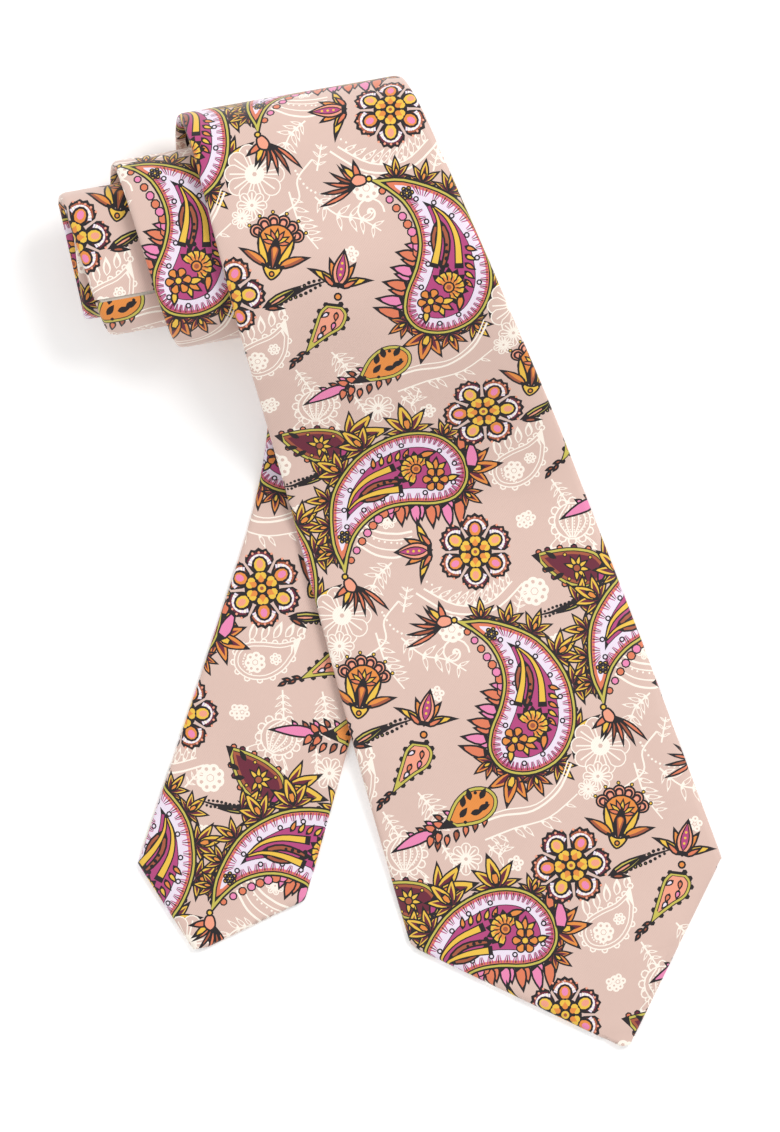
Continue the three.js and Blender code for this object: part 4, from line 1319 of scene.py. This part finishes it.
@dataclass
class Cloth:
    """One cut length of printed cloth, folded into the flat tube and printed.

    The print's shapes are cut into the flat cloth, so each colour has its own faces, and the flat cloth
    is then carried onto the strand.
    """

    name: str
    node_name: str
    strand: Strand
    start: float
    finish: float
    repeat: Repeat
    figures: Motifs
    open_until: float
    left_band: float
    rests_on: tuple[str, ...] = ()
    row_height: float = 112.0
    points: list[Point] = field(default_factory=list)
    shapes: list[list[int]] = field(default_factory=list)
    inks: list[Ink] = field(default_factory=list)
    links: list[tuple[int, int]] = field(default_factory=list)

    def runs(self) -> list[float]:
        """Where the cloth is creased across by the strand's route."""
        inside = [s.run for s in self.strand.stations if self.start + 0.4 < s.run < self.finish - 0.4]
        rows = [r for r in self.row_breaks() if self.start + 0.4 < r < self.finish - 0.4]
        kept: list[float] = [self.start]
        for run in sorted([*inside, *rows]):
            if run - kept[-1] > 0.35 or run in rows:
                if run in rows and run - kept[-1] <= 0.35 and len(kept) > 1:
                    kept.pop()
                kept.append(run)
        return [*kept, self.finish]

    def row_breaks(self) -> list[float]:
        """Where the flat layout of the cloth starts a new row."""
        return [self.start + self.row_height * k for k in range(1, 4)]

    def lines_at(self, run: float) -> list[float]:
        """Places across the cloth at a run: both raw edges and the lines of each fold."""
        centre, half, bend = self.strand.shape(run)
        reach = self.strand.reach(run)
        folds = [half - bend + math.pi * bend * k / FOLD_LINES for k in range(FOLD_LINES + 1)]
        offsets = [-reach, *[-f for f in reversed(folds)], *folds, reach]
        return [centre + offset for offset in offsets]

    def seen(self, middles: np.ndarray, reaches: np.ndarray) -> np.ndarray:
        """Which shapes can be seen once the cloth is folded and rolled.

        Args:
            middles: the shapes' middles on the flat cloth.
            reaches: how far each shape reaches from its middle.

        Returns:
            True for each shape that shows.
        """
        run, across = middles.T
        at = self.strand.read_at(np.clip(run, self.start, self.finish))
        on_cloth = (run + reaches > self.start) & (run - reaches < self.finish)
        over = np.abs(across - at["centre"]) < at["half"] + 4 + reaches
        open_part = run - reaches < self.open_until
        left = across - reaches < at["centre"] - at["half"] + self.left_band
        right = across + reaches > at["centre"] + at["half"] - 1
        return on_cloth & over & (open_part | left | right)

    def outline(self) -> None:
        """Enter the flat cloth's outline, its fold lines and its crease lines."""
        rows: list[list[int]] = []
        for run in self.runs():
            rows.append([])
            for across in self.lines_at(run):
                rows[-1].append(len(self.points))
                self.points.append((run, across))
        left = [row[0] for row in rows]
        right = [row[-1] for row in rows]
        edge = [*left, *rows[-1][1:-1], *reversed(right), *reversed(rows[0][1:-1])]
        self.shapes.append(edge if signed_area([self.points[i] for i in edge]) > 0 else edge[::-1])
        self.inks.append(Ink.GROUND)
        for row in rows:
            self.links += list(zip(row, row[1:]))
        for before, after in zip(rows, rows[1:]):
            self.links += list(zip(before, after))[1:-1]

    def draw(self) -> None:
        """Enter every printed shape that can be seen."""
        lows = [min(p[k] for p in self.points) for k in (0, 1)]
        highs = [max(p[k] for p in self.points) for k in (0, 1)]
        for spot in self.repeat.spots((lows[0], lows[1]), (highs[0], highs[1]), 100.0):
            middles = np.array([spot.put(p) for p in self.figures.middles])
            for k in np.flatnonzero(self.seen(middles, self.figures.reaches)):
                shape, ink = self.figures.shapes[k]
                placed = [spot.put(p) for p in shape]
                first = len(self.points)
                self.points += placed if signed_area(placed) > 0 else placed[::-1]
                self.shapes.append(list(range(first, first + len(placed))))
                self.inks.append(ink)

    def cut_out(self) -> tuple[np.ndarray, np.ndarray, np.ndarray]:
        """Cut the print into the flat cloth, then drop every side that parts no two colours.

        Returns:
            The flat vertices, the triangles facing out, and each triangle's ink by its number.
        """
        self.outline()
        creases = len(self.points)
        self.draw()
        flat = [Vector(p) for p in self.points]
        verts, _, faces, near, _, origins = delaunay_2d_cdt(flat, self.links, self.shapes, 1, 1e-4, True)
        number = {ink: i for i, ink in enumerate(Ink)}
        order = [number[ink] for ink in self.inks]
        corners = {i for i, found in enumerate(near) if any(k < creases for k in found)}
        sides: dict[tuple[int, int], int] = {}
        for face, origin in zip(faces, origins):
            if 0 in origin:
                ink = order[max(origin)]
                for a, b in ((face[0], face[1]), (face[1], face[2]), (face[2], face[0])):
                    sides[(a, b)] = ink
        crossing, along = self.creases_at(np.array([(v.x, v.y) for v in verts]), self.points[:creases])
        kept: dict[int, set[int]] = {}
        for (a, b), ink in list(sides.items()):
            crease = crossing[a] == crossing[b] >= 0 or along[a] == along[b] != 0
            if crease or sides.get((b, a)) != ink:
                kept.setdefault(a, set()).add(b)
                kept.setdefault(b, set()).add(a)
        inside = dict(sides)
        for slack in (0.03, 0.04):
            fixed = set(corners)
            for i in list(kept):
                if i in fixed or len(kept[i]) != 2:
                    continue
                a, b = kept[i]
                p, q, r = verts[a], verts[i], verts[b]
                if b in kept[a] or to_segment(q, p, r) > slack or abs(p.x - r.x) < 1e-3:
                    continue
                kept[a].discard(i)
                kept[b].discard(i)
                kept[a].add(b)
                kept[b].add(a)
                del kept[i]
                fixed |= {a, b}
                for c, d in ((a, b), (b, a)):
                    if (c, i) in inside:
                        inside[(c, d)] = inside[(c, i)]
        names = {old: new for new, old in enumerate(kept)}
        ends = [(names[a], names[b]) for a in kept for b in kept[a] if a < b]
        flat = [verts[i] for i in kept]
        again, _, faces, near, _, _ = delaunay_2d_cdt(flat, ends, [], 1, 1e-4, True)
        old = {new: names_list[0] for new, names_list in enumerate(near) if names_list}
        back = {new: index for index, new in names.items()}
        known = {(a, b): inside.get((back[a], back[b])) for a, b in [*ends, *[(b, a) for a, b in ends]]}
        return self.coloured(again, faces, old, known)

    def creases_at(self, flat: np.ndarray, marks: Sequence[Point]) -> tuple[list[int], list[int]]:
        """Which crease each flat vertex lies on.

        Args:
            flat: the vertices.
            marks: the crease lines' own points.

        Returns:
            The crease across the cloth, or -1, and the fold line along it, signed by side, or 0.
        """
        rows = np.array(sorted({run for run, _ in marks}))
        near = np.clip(np.searchsorted(rows, flat[:, 0]), 1, len(rows) - 1)
        near = np.where(flat[:, 0] - rows[near - 1] < rows[near] - flat[:, 0], near - 1, near)
        crossing = np.where(np.abs(rows[near] - flat[:, 0]) < 2e-3, near, -1)
        at = self.strand.read_at(flat[:, 0])
        offset = flat[:, 1] - at["centre"]
        spacing = math.pi * np.maximum(at["bend"], 1e-6) / FOLD_LINES
        level = (np.abs(offset) - at["half"] + at["bend"]) / spacing
        whole = np.round(level)
        on_line = (np.abs(level - whole) < 0.02) & (whole >= 0) & (whole <= FOLD_LINES)
        along = np.where(on_line, (whole + 1) * np.sign(offset), 0)
        return crossing.tolist(), along.astype(int).tolist()

    def coloured(
        self,
        verts: list[Vector],
        faces: list[list[int]],
        old: dict[int, int],
        known: dict[tuple[int, int], int | None],
    ) -> tuple[np.ndarray, np.ndarray, np.ndarray]:
        """Give each triangle the ink on its side of the lines round it.

        Args:
            verts: flat vertices.
            faces: triangles.
            old: each vertex's number among the lines' ends.
            known: the ink to the left of each line, by its two ends.

        Returns:
            Vertices, triangles facing out, and inks.
        """
        inks = [-1] * len(faces)
        owner: dict[tuple[int, int], int] = {}
        for f, face in enumerate(faces):
            for a, b in ((face[0], face[1]), (face[1], face[2]), (face[2], face[0])):
                owner[(a, b)] = f
                ink = known.get((old.get(a, -1), old.get(b, -1)))
                if ink is not None and inks[f] < 0:
                    inks[f] = ink
        front = [f for f, ink in enumerate(inks) if ink >= 0]
        while front:
            ahead = []
            for f in front:
                a, b, c = faces[f]
                for side in ((b, a), (c, b), (a, c)):
                    g = owner.get(side, -1)
                    drawn = (old.get(side[0], -1), old.get(side[1], -1)) in known
                    if g >= 0 and inks[g] < 0 and not drawn:
                        inks[g] = inks[f]
                        ahead.append(g)
            front = ahead
        points = np.array([(p.x, p.y) for p in verts])
        triangles = np.array(faces)[:, ::-1]
        middle = points[triangles].mean(axis=1)
        at = self.strand.read_at(middle[:, 0])
        keep = (np.array(inks) >= 0) & (np.abs(middle[:, 1] - at["centre"]) < at["reach"])
        return points, triangles[keep], np.array(inks)[keep]

    def layout(self, verts: np.ndarray, faces: np.ndarray) -> np.ndarray:
        """Place every face on the flat layout, in a unit square: rows of the front, then the rest.

        Args:
            verts: flat vertices.
            faces: triangles.

        Returns:
            A place from 0 to 1 each way for each corner of each face.
        """
        read = self.strand.read
        middle = verts[faces].mean(axis=1)
        half = np.interp(middle[:, 0], read["run"], read["half"] - read["bend"])
        bend = np.interp(middle[:, 0], read["run"], read["bend"])
        centre = np.interp(middle[:, 0], read["run"], read["centre"])
        front = np.abs(middle[:, 1] - centre) < half + math.pi * bend * FRONT_LINE / FOLD_LINES
        row = np.clip(((middle[:, 0] - self.start) / self.row_height).astype(int), 0, 3)
        front, row = (np.repeat(x, 3) for x in (front, row))
        run, across = verts[faces.ravel()].T
        w = across - np.interp(run, read["run"], read["centre"])
        left = np.repeat(middle[:, 1] < centre, 3)
        share = (run - self.start) / (self.finish - self.start)
        u = 0.25 + w / 112 * 0.49 + 0.5 * (row % 2)
        v = 0.005 + (run - self.start - row * self.row_height) / self.row_height * 0.485 + 0.5 * (row // 2)
        rest = 0.505 + share * 0.485
        open_front = front & (row < 3)
        u = np.where(open_front, u, np.where(front, 0.625 + w / 90 * 0.235, 0.0))
        back = 0.76 + np.where(left, 0.0, 0.12) + np.clip((np.abs(w) - 18) / 90, 0, 1) * 0.11
        u = np.where(front, u, back)
        return np.stack([u, np.where(open_front, v, rest)], axis=1)

    def build(self, material: bpy.types.Material) -> bpy.types.Object:
        """Cut the print into the flat cloth and carry it onto the strand.

        Args:
            material: the cloth's finish.

        Returns:
            The finished piece.
        """
        verts, kept, inks = self.cut_out()
        runs, across = verts[:, 0], verts[:, 1]
        places = self.strand.points(runs, across)
        mesh = bpy.data.meshes.new(self.name)
        mesh.from_pydata(places.tolist(), [], kept.tolist())
        palette = np.array([ink.linear() for ink in Ink])
        printed = mesh.color_attributes.new("Print", "FLOAT_COLOR", "CORNER")
        printed.data.foreach_set("color", np.repeat(palette[inks], 3, axis=0).ravel())
        cloth_uv = mesh.uv_layers.new(name="Cloth")
        bake_uv = mesh.uv_layers.new(name="OFBake")
        corners = kept.ravel()
        cloth_uv.data.foreach_set("uv", (verts[corners][:, ::-1] * MM).ravel())
        bake_uv.data.foreach_set("uv", self.layout(verts, kept).ravel())
        mesh.uv_layers.active = cloth_uv
        mesh.materials.append(material)
        mesh.polygons.foreach_set("use_smooth", [True] * len(kept))
        mesh.normals_split_custom_set_from_vertices(self.strand.normals(runs, across).tolist())
        piece = put_in_scene(self.name, mesh)
        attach(piece, "root")
        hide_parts(self.node_name)
        width, length, area = self.flat_size()
        LOG.info("%s: %d faces, flat %.3f x %.3f m", self.name, len(kept), width, length)
        return piece

    def flat_size(self) -> tuple[float, float, float]:
        """Width, length and area of the flat cut, in metres and square metres."""
        steps = [self.start + (self.finish - self.start) * i / 200 for i in range(201)]
        reaches = [self.strand.reach(run) for run in steps]
        centres = [self.strand.shape(run)[0] for run in steps]
        slant = (centres[-1] - centres[0]) / (self.finish - self.start)
        length = (self.finish - self.start) * math.hypot(1, slant)
        width = 2 * max(reaches) * math.cos(math.atan(slant))
        area = 2 * sum(reaches) / len(reaches) * (self.finish - self.start)
        return width * MM, length * MM, min(area * 1e-6, width * length * 1e-6)


class NeckStrand(Strand):
    """The neck length: the blade's strand, round the fold, and back along the tail's strand."""

    def __init__(self, blade: BladeStrand, tail: TailStrand, blade_from: float, tail_to: float) -> None:
        """Join the two strands.

        Args:
            blade: the outer strand.
            tail: the inner strand.
            blade_from: run of the blade's strand where the neck begins.
            tail_to: run of the tail's strand where it ends.
        """
        sizes = blade.sizes
        first = blade.station(blade_from)
        stations = [Station(first.v, first.z, first.nv, first.nz, 0.0)]
        edges = [blade.edges(blade_from)]
        for s in blade.stations:
            if s.run > blade_from + 0.5:
                stations.append(Station(s.v, s.z, s.nv, s.nz, s.run - blade_from))
                edges.append(blade.edges(s.run))
        end = blade.stations[-1]
        radius, side = sizes.pitch / 2, 1 if end.nz > 0 else -1
        start_edges, end_edges = blade.edges(end.run), tail.edges(tail.end)
        for i in range(1, 9):
            angle, t = i * math.pi / 9, i / 9
            v = end.v + side * radius * math.sin(angle)
            z = end.z - side * radius * (1 - math.cos(angle))
            run = stations[-1].run + radius * math.pi / 9
            stations.append(Station(v, z, side * math.sin(angle), side * math.cos(angle), run))
            edges.append(tuple(a + (b - a) * t for a, b in zip(start_edges, end_edges)))
        base = stations[-1].run + radius * math.pi / 9
        for s in reversed(tail.stations):
            if s.run > tail_to + 0.5:
                stations.append(Station(s.v, s.z, -s.nv, -s.nz, base + tail.end - s.run))
                edges.append(tail.edges(s.run))
        last = tail.station(tail_to)
        stations.append(Station(last.v, last.z, -last.nv, -last.nz, base + tail.end - tail_to))
        edges.append(tail.edges(tail_to))
        super().__init__(stations, sizes)
        self.edge_list = edges

    def edges(self, run: float) -> Point:
        """Left and right folded edge at a run."""
        self.station(run)
        i = self.cursor
        a, b = self.stations[i], self.stations[i + 1]
        t = min(1.0, max(0.0, (run - a.run) / max(1e-9, b.run - a.run)))
        (l0, r0), (l1, r1) = self.edge_list[i], self.edge_list[i + 1]
        return l0 + (l1 - l0) * t, r0 + (r1 - r0) * t


# ---- Sewing and trims ----


def put_in_scene(name: str, data: bpy.types.ID | None) -> bpy.types.Object:
    """Make an object of a mesh, curve, light or camera and put it in the scene."""
    made = bpy.data.objects.new(name, data)
    bpy.context.scene.collection.objects.link(made)
    return made


def strip_mesh(
    name: str, rings: Sequence[Sequence[Vector]], material: bpy.types.Material
) -> bpy.types.Object:
    """A closed solid through rings of points, with flat ends.

    Args:
        name: of the piece.
        rings: the outline at each station, all of one size.
        material: its finish.

    Returns:
        The piece, faces outwards.
    """
    size = len(rings[0])
    points = [p for ring in rings for p in ring]
    faces: list[tuple[int, ...]] = []
    for r in range(len(rings) - 1):
        for i in range(size):
            a, b = r * size + i, r * size + (i + 1) % size
            faces.append((a, b, b + size, a + size))
    last = (len(rings) - 1) * size
    faces.append(tuple(range(size - 1, -1, -1)))
    faces.append(tuple(last + i for i in range(size)))
    mesh = bpy.data.meshes.new(name)
    mesh.from_pydata(points, [], faces)
    outwards(mesh)
    mesh.materials.append(material)
    return put_in_scene(name, mesh)


def outwards(mesh: bpy.types.Mesh) -> None:
    """Turn a closed mesh's faces outwards."""
    work = bmesh.new()
    work.from_mesh(mesh)
    bmesh.ops.remove_doubles(work, verts=work.verts, dist=1e-7)
    bmesh.ops.recalc_face_normals(work, faces=work.faces)
    work.to_mesh(mesh)
    work.free()
    mesh.polygons.foreach_set("use_smooth", [True] * len(mesh.polygons))


@dataclass
class StitchLine:
    """A line of hand stitches along the middle of a strand's back."""

    name: str
    node_name: str
    strand: Strand
    start: float
    finish: float
    spacing: float = 7.0
    length: float = 4.2
    thickness: float = 0.34
    depth: float = -1.0
    seed: int = 7

    def path(self) -> bpy.types.Object:
        """The line the stitches follow, as a curve."""
        curve = bpy.data.curves.new(self.name + "_path", "CURVE")
        curve.dimensions = "3D"
        count = max(2, int((self.finish - self.start) / 2.0))
        spline = curve.splines.new("POLY")
        spline.points.add(count)
        for i, point in enumerate(spline.points):
            run = self.start + (self.finish - self.start) * i / count
            here = self.strand.station(run)
            centre = self.strand.shape(run)[0]
            low, high = self.strand.drop(here.v, run)
            z = here.z + (low + high) / 2 + self.depth * here.nz
            p = place(self.strand.sizes, here.v + self.depth * here.nv, z, centre)
            point.co = (p.x, p.y, p.z, 1)
        return put_in_scene(self.name, curve)

    def tree(self, material: bpy.types.Material) -> bpy.types.NodeTree:
        """Stitches along a curve: resampled, one small sewn arc at each point.

        Args:
            material: the thread's finish.

        Returns:
            The tree, with named inputs.
        """
        tree = bpy.data.node_groups.new("hand_stitches", "GeometryNodeTree")
        face = tree.interface
        face.new_socket("Geometry", in_out="INPUT", socket_type="NodeSocketGeometry")
        for name in ("Spacing", "Stitch Length", "Thickness"):
            face.new_socket(name, in_out="INPUT", socket_type="NodeSocketFloat")
        face.new_socket("Seed", in_out="INPUT", socket_type="NodeSocketInt")
        face.new_socket("Geometry", in_out="OUTPUT", socket_type="NodeSocketGeometry")
        link = tree.links.new
        entry = node(tree, "NodeGroupInput")
        leave = node(tree, "NodeGroupOutput")
        resample = node(tree, "GeometryNodeResampleCurve", mode="LENGTH")
        link(entry.outputs["Geometry"], resample.inputs["Curve"])
        link(entry.outputs["Spacing"], resample.inputs["Length"])
        tangent = node(tree, "GeometryNodeInputTangent")
        align = node(tree, "FunctionNodeAlignRotationToVector", axis="X")
        link(tangent.outputs["Tangent"], align.inputs["Vector"])
        arc = node(tree, "GeometryNodeCurvePrimitiveBezierSegment", mode="OFFSET", Resolution=5)
        for socket, share in (("Start", -0.5), ("End", 0.5)):
            part = node(tree, "ShaderNodeMath", operation="MULTIPLY")
            part.inputs[1].default_value = share
            link(entry.outputs["Stitch Length"], part.inputs[0])
            place_of = node(tree, "ShaderNodeCombineXYZ")
            link(part.outputs[0], place_of.inputs["X"])
            link(place_of.outputs[0], arc.inputs[socket])
        arc.inputs["Start Handle"].default_value = (0.0008, 0.0002, 0.0)
        arc.inputs["End Handle"].default_value = (-0.0008, 0.0002, 0.0)
        ring = node(tree, "GeometryNodeCurvePrimitiveCircle", Resolution=6)
        radius = node(tree, "ShaderNodeMath", operation="MULTIPLY")
        radius.inputs[1].default_value = 0.5
        link(entry.outputs["Thickness"], radius.inputs[0])
        link(radius.outputs[0], ring.inputs["Radius"])
        tube = node(tree, "GeometryNodeCurveToMesh")
        tube.inputs["Fill Caps"].default_value = True
        link(arc.outputs["Curve"], tube.inputs["Curve"])
        link(ring.outputs["Curve"], tube.inputs["Profile Curve"])
        chance = node(tree, "FunctionNodeRandomValue", data_type="FLOAT")
        chance.inputs[2].default_value = 0.88
        chance.inputs[3].default_value = 1.06
        link(entry.outputs["Seed"], chance.inputs["Seed"])
        copies = node(tree, "GeometryNodeInstanceOnPoints")
        link(resample.outputs["Curve"], copies.inputs["Points"])
        link(tube.outputs["Mesh"], copies.inputs["Instance"])
        link(align.outputs["Rotation"], copies.inputs["Rotation"])
        link(chance.outputs[1], copies.inputs["Scale"])
        whole = node(tree, "GeometryNodeRealizeInstances")
        link(copies.outputs["Instances"], whole.inputs["Geometry"])
        dress = node(tree, "GeometryNodeSetMaterial")
        dress.inputs["Material"].default_value = material
        link(whole.outputs["Geometry"], dress.inputs["Geometry"])
        link(dress.outputs["Geometry"], leave.inputs["Geometry"])
        return tree

    def build(self, material: bpy.types.Material) -> bpy.types.Object:
        """Sew the line and keep the result as a plain mesh.

        Args:
            material: the thread's finish.

        Returns:
            The finished piece.
        """
        guide = self.path()
        tree = self.tree(material)
        modifier = guide.modifiers.new("stitches", "NODES")
        modifier.node_group = tree
        values = {
            "Spacing": self.spacing * MM,
            "Stitch Length": self.length * MM,
            "Thickness": self.thickness * MM,
            "Seed": self.seed,
        }
        for item in tree.interface.items_tree:
            if item.in_out == "INPUT" and item.name in values:
                modifier[item.identifier] = values[item.name]
        graph = bpy.context.evaluated_depsgraph_get()
        mesh = bpy.data.meshes.new_from_object(guide.evaluated_get(graph), depsgraph=graph)
        guide.modifiers.remove(modifier)
        curve = guide.data
        bpy.data.objects.remove(guide)
        bpy.data.curves.remove(curve)
        mesh.polygons.foreach_set("use_smooth", [True] * len(mesh.polygons))
        piece = put_in_scene(self.name, mesh)
        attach(piece, "root")
        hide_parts(self.node_name)
        LOG.info("%s: %d faces", self.name, len(mesh.polygons))
        return piece


@dataclass
class Keeper:
    """The strap of the tie's own cloth sewn across the blade's back."""

    strand: Strand
    start: float = 215.0
    finish: float = 231.0
    half_width: float = 26.0
    stand: float = 0.8
    wall: float = 0.4

    def level(self, x: float) -> float:
        """Height of the strap's inner side below the blade, at x from its middle."""
        foot = -self.strand.sizes.half_strand - 0.35
        return foot - self.stand * smooth((self.half_width - 4.5 - abs(x)) / 4.5)

    def ring(self, run: float) -> list[Vector]:
        """The strap's outline at a run, inner side then outer side."""
        here = self.strand.station(run)
        centre = self.strand.shape(run)[0]
        low, high = self.strand.drop(here.v, run)
        steps = 28
        xs = [self.half_width * (1 - 2 * i / steps) for i in range(steps + 1)]
        near = 0.18 * smooth(min(run - self.start, self.finish - run) / 1.2)
        inner = [(x, self.level(x) - 0.18 + near) for x in xs]
        outer = [(x, self.level(x) - self.wall + 0.1 - near) for x in reversed(xs)]
        z = here.z + (low + high) / 2
        return [
            place(self.strand.sizes, here.v + n * here.nv, z + n * here.nz, centre + x)
            for x, n in [*inner, *outer]
        ]

    def build(self, material: bpy.types.Material) -> bpy.types.Object:
        """Make the strap.

        Args:
            material: its finish.

        Returns:
            The finished piece.
        """
        steps = 10
        rings = [self.ring(self.start + (self.finish - self.start) * i / steps) for i in range(steps + 1)]
        piece = strip_mesh("keeper_strap", rings, material)
        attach(piece, "root")
        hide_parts("keeper_loop")
        return piece


# ---- Studio ----


@dataclass(frozen=True)
class Studio:
    """Pale floor, soft light, and a long lens looking straight down."""

    view_height: float = 0.3560
    distance: float = 2.0
    aim: tuple[float, float] = (-0.0004, -0.0007)

    def camera(self) -> bpy.types.Object:
        """Place the camera over the tie."""
        data = bpy.data.cameras.new("studio_camera")
        data.sensor_fit = "VERTICAL"
        data.sensor_height = 24.0
        data.lens = 24.0 * self.distance / self.view_height
        data.clip_start = 0.05
        data.clip_end = 50.0
        made = put_in_scene("studio_camera", data)
        made.location = (self.aim[0], self.aim[1], self.distance)
        bpy.context.scene.camera = made
        return made

    def light(self, name: str, at: tuple[float, float, float], size: float, power: float) -> None:
        """Hang one soft light aimed at the tie."""
        data = bpy.data.lights.new(name, "AREA")
        data.shape = "DISK"
        data.size = size
        data.energy = power
        made = put_in_scene(name, data)
        made.location = at
        made.rotation_euler = (-Vector(at)).to_track_quat("-Z", "Y").to_euler()

    def floor(self) -> None:
        """Lay the pale floor."""
        reach, level = 6.0, -0.0003
        corners = [(x * reach, y * reach, level) for x, y in ((-1, -1), (1, -1), (1, 1), (-1, 1))]
        mesh = bpy.data.meshes.new("floor")
        mesh.from_pydata(corners, [], [(0, 1, 2, 3)])
        paint = bpy.data.materials.new("floor_paint")
        paint.use_nodes = True
        shader = paint.node_tree.nodes["Principled BSDF"]
        shader.inputs["Base Color"].default_value = (0.93, 0.925, 0.92, 1)
        shader.inputs["Emission Color"].default_value = (1, 1, 1, 1)
        for name, value in (("Roughness", 0.85), ("Specular IOR Level", 0.1), ("Emission Strength", 0.22)):
            shader.inputs[name].default_value = value
        mesh.materials.append(paint)
        put_in_scene("floor", mesh)

    def world(self) -> None:
        """Fill the room with soft white light."""
        world = bpy.data.worlds.new("studio")
        world.use_nodes = True
        background = world.node_tree.nodes["Background"]
        background.inputs["Color"].default_value = (1.0, 1.0, 1.0, 1)
        background.inputs["Strength"].default_value = 0.66
        bpy.context.scene.world = world

    def build(self) -> None:
        """Set the whole studio."""
        bpy.context.scene.view_settings.view_transform = "Standard"
        self.floor()
        self.world()
        self.light("key", (0.9, 0.9, 1.5), 0.9, 19.0)
        self.light("fill", (-1.2, -0.5, 1.6), 1.6, 6.0)


def frame_shift(blade: BladeStrand) -> Vector:
    """How far the route's own zero is from the part's frame, by the blade shell's box.

    Args:
        blade: the blade's strand, not yet shifted.

    Returns:
        The shift in metres.
    """
    low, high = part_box("blade_shell")
    places = []
    start, finish = BLADE_CUT
    for i in range(296):
        run = start + (finish - start) * i / 295
        centre, half, bend = blade.shape(run)
        for reach in (half - bend, half - bend + math.pi * bend / 2):
            places += [(run, centre - reach), (run, centre + reach)]
    points = blade.points(*np.array(places).T)
    middle = [(points[:, k].min() + points[:, k].max()) / 2 for k in (0, 1)]
    return Vector((*[(low[k] + high[k]) / 2 - middle[k] for k in (0, 1)], low[2] - TABLE_GAP * MM))


def dress_nodes(names: Sequence[str], material: bpy.types.Material) -> None:
    """Give CAD nodes that stay their procedural finish.

    Args:
        names: of the nodes.
        material: the finish.
    """
    for name in names:
        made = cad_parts[name]
        made.data.materials.clear()
        made.data.materials.append(material)
        LOG.info("%s: %s", name, material.name)


def main() -> None:
    """Build the necktie in order: studio, strands, cloth, keeper, sewing."""
    global PLACE_SHIFT
    logging.basicConfig(level=logging.INFO, format="%(name)s %(message)s")
    studio = Studio()
    studio.camera()
    sizes = RollSizes()
    blade = BladeStrand(sizes)
    tail = TailStrand(sizes, blade)
    PLACE_SHIFT = frame_shift(blade)
    LOG.info("frame shift %s", [round(c * 1000, 3) for c in PLACE_SHIFT])
    neck = NeckStrand(blade, tail, 585.0, TAIL_CUT[1])
    silk = PrintedSilk().material()
    thread = SEWING.material()
    blade_print = Repeat(anchor=(60.3, 39.6), turn=99.96)
    tail_print = Repeat(anchor=(109.3, -41.0), turn=130.96)
    neck_print = Repeat(anchor=(20.0, -80.0), turn=99.96)
    figures = Motifs()
    figures.repeat(Spot())
    figures.measure()
    blade_cloth = Cloth("blade_cloth", "blade_shell", blade, *BLADE_CUT, blade_print, figures, 345.0, 34.0)
    tail_cloth = Cloth("tail_cloth", "tail_shell", tail, *TAIL_CUT, tail_print, figures, 145.0, 5.0)
    neck_cloth = Cloth("neck_cloth", "neck_shell", neck, 0.0, neck.end - 0.9, neck_print, figures, 0.0, 30.0)
    tail_cloth.row_height, neck_cloth.row_height = 60.0, 40.0
    blade_cloth.rests_on = ("tail_cloth",)
    for cloth in (tail_cloth, blade_cloth, neck_cloth):
        cloth.build(silk)
    Keeper(blade).build(TWILL.material())
    StitchLine("slip_stitches", "slip_stitch", blade, 152.0, 583.0).build(thread)
    StitchLine("tail_slip_stitches", "tail_slip_stitch", tail, 86.0, 468.0).build(thread)
    sewn = ("blade_bar_tack", "tail_bar_tack", "blade_neck_seam", "neck_tail_seam", "slack_thread_loop")
    dress_nodes((*sewn, "keeper_tack_left", "keeper_tack_right"), thread)
    dress_nodes(("blade_interlining", "tail_interlining"), FILLING.material())
    dress_nodes(("blade_tipping", "tail_tipping"), LINING.material())
    dress_nodes(("blank_label",), TAPE.material())
    studio.build()


if __name__ == "__main__":
    main()
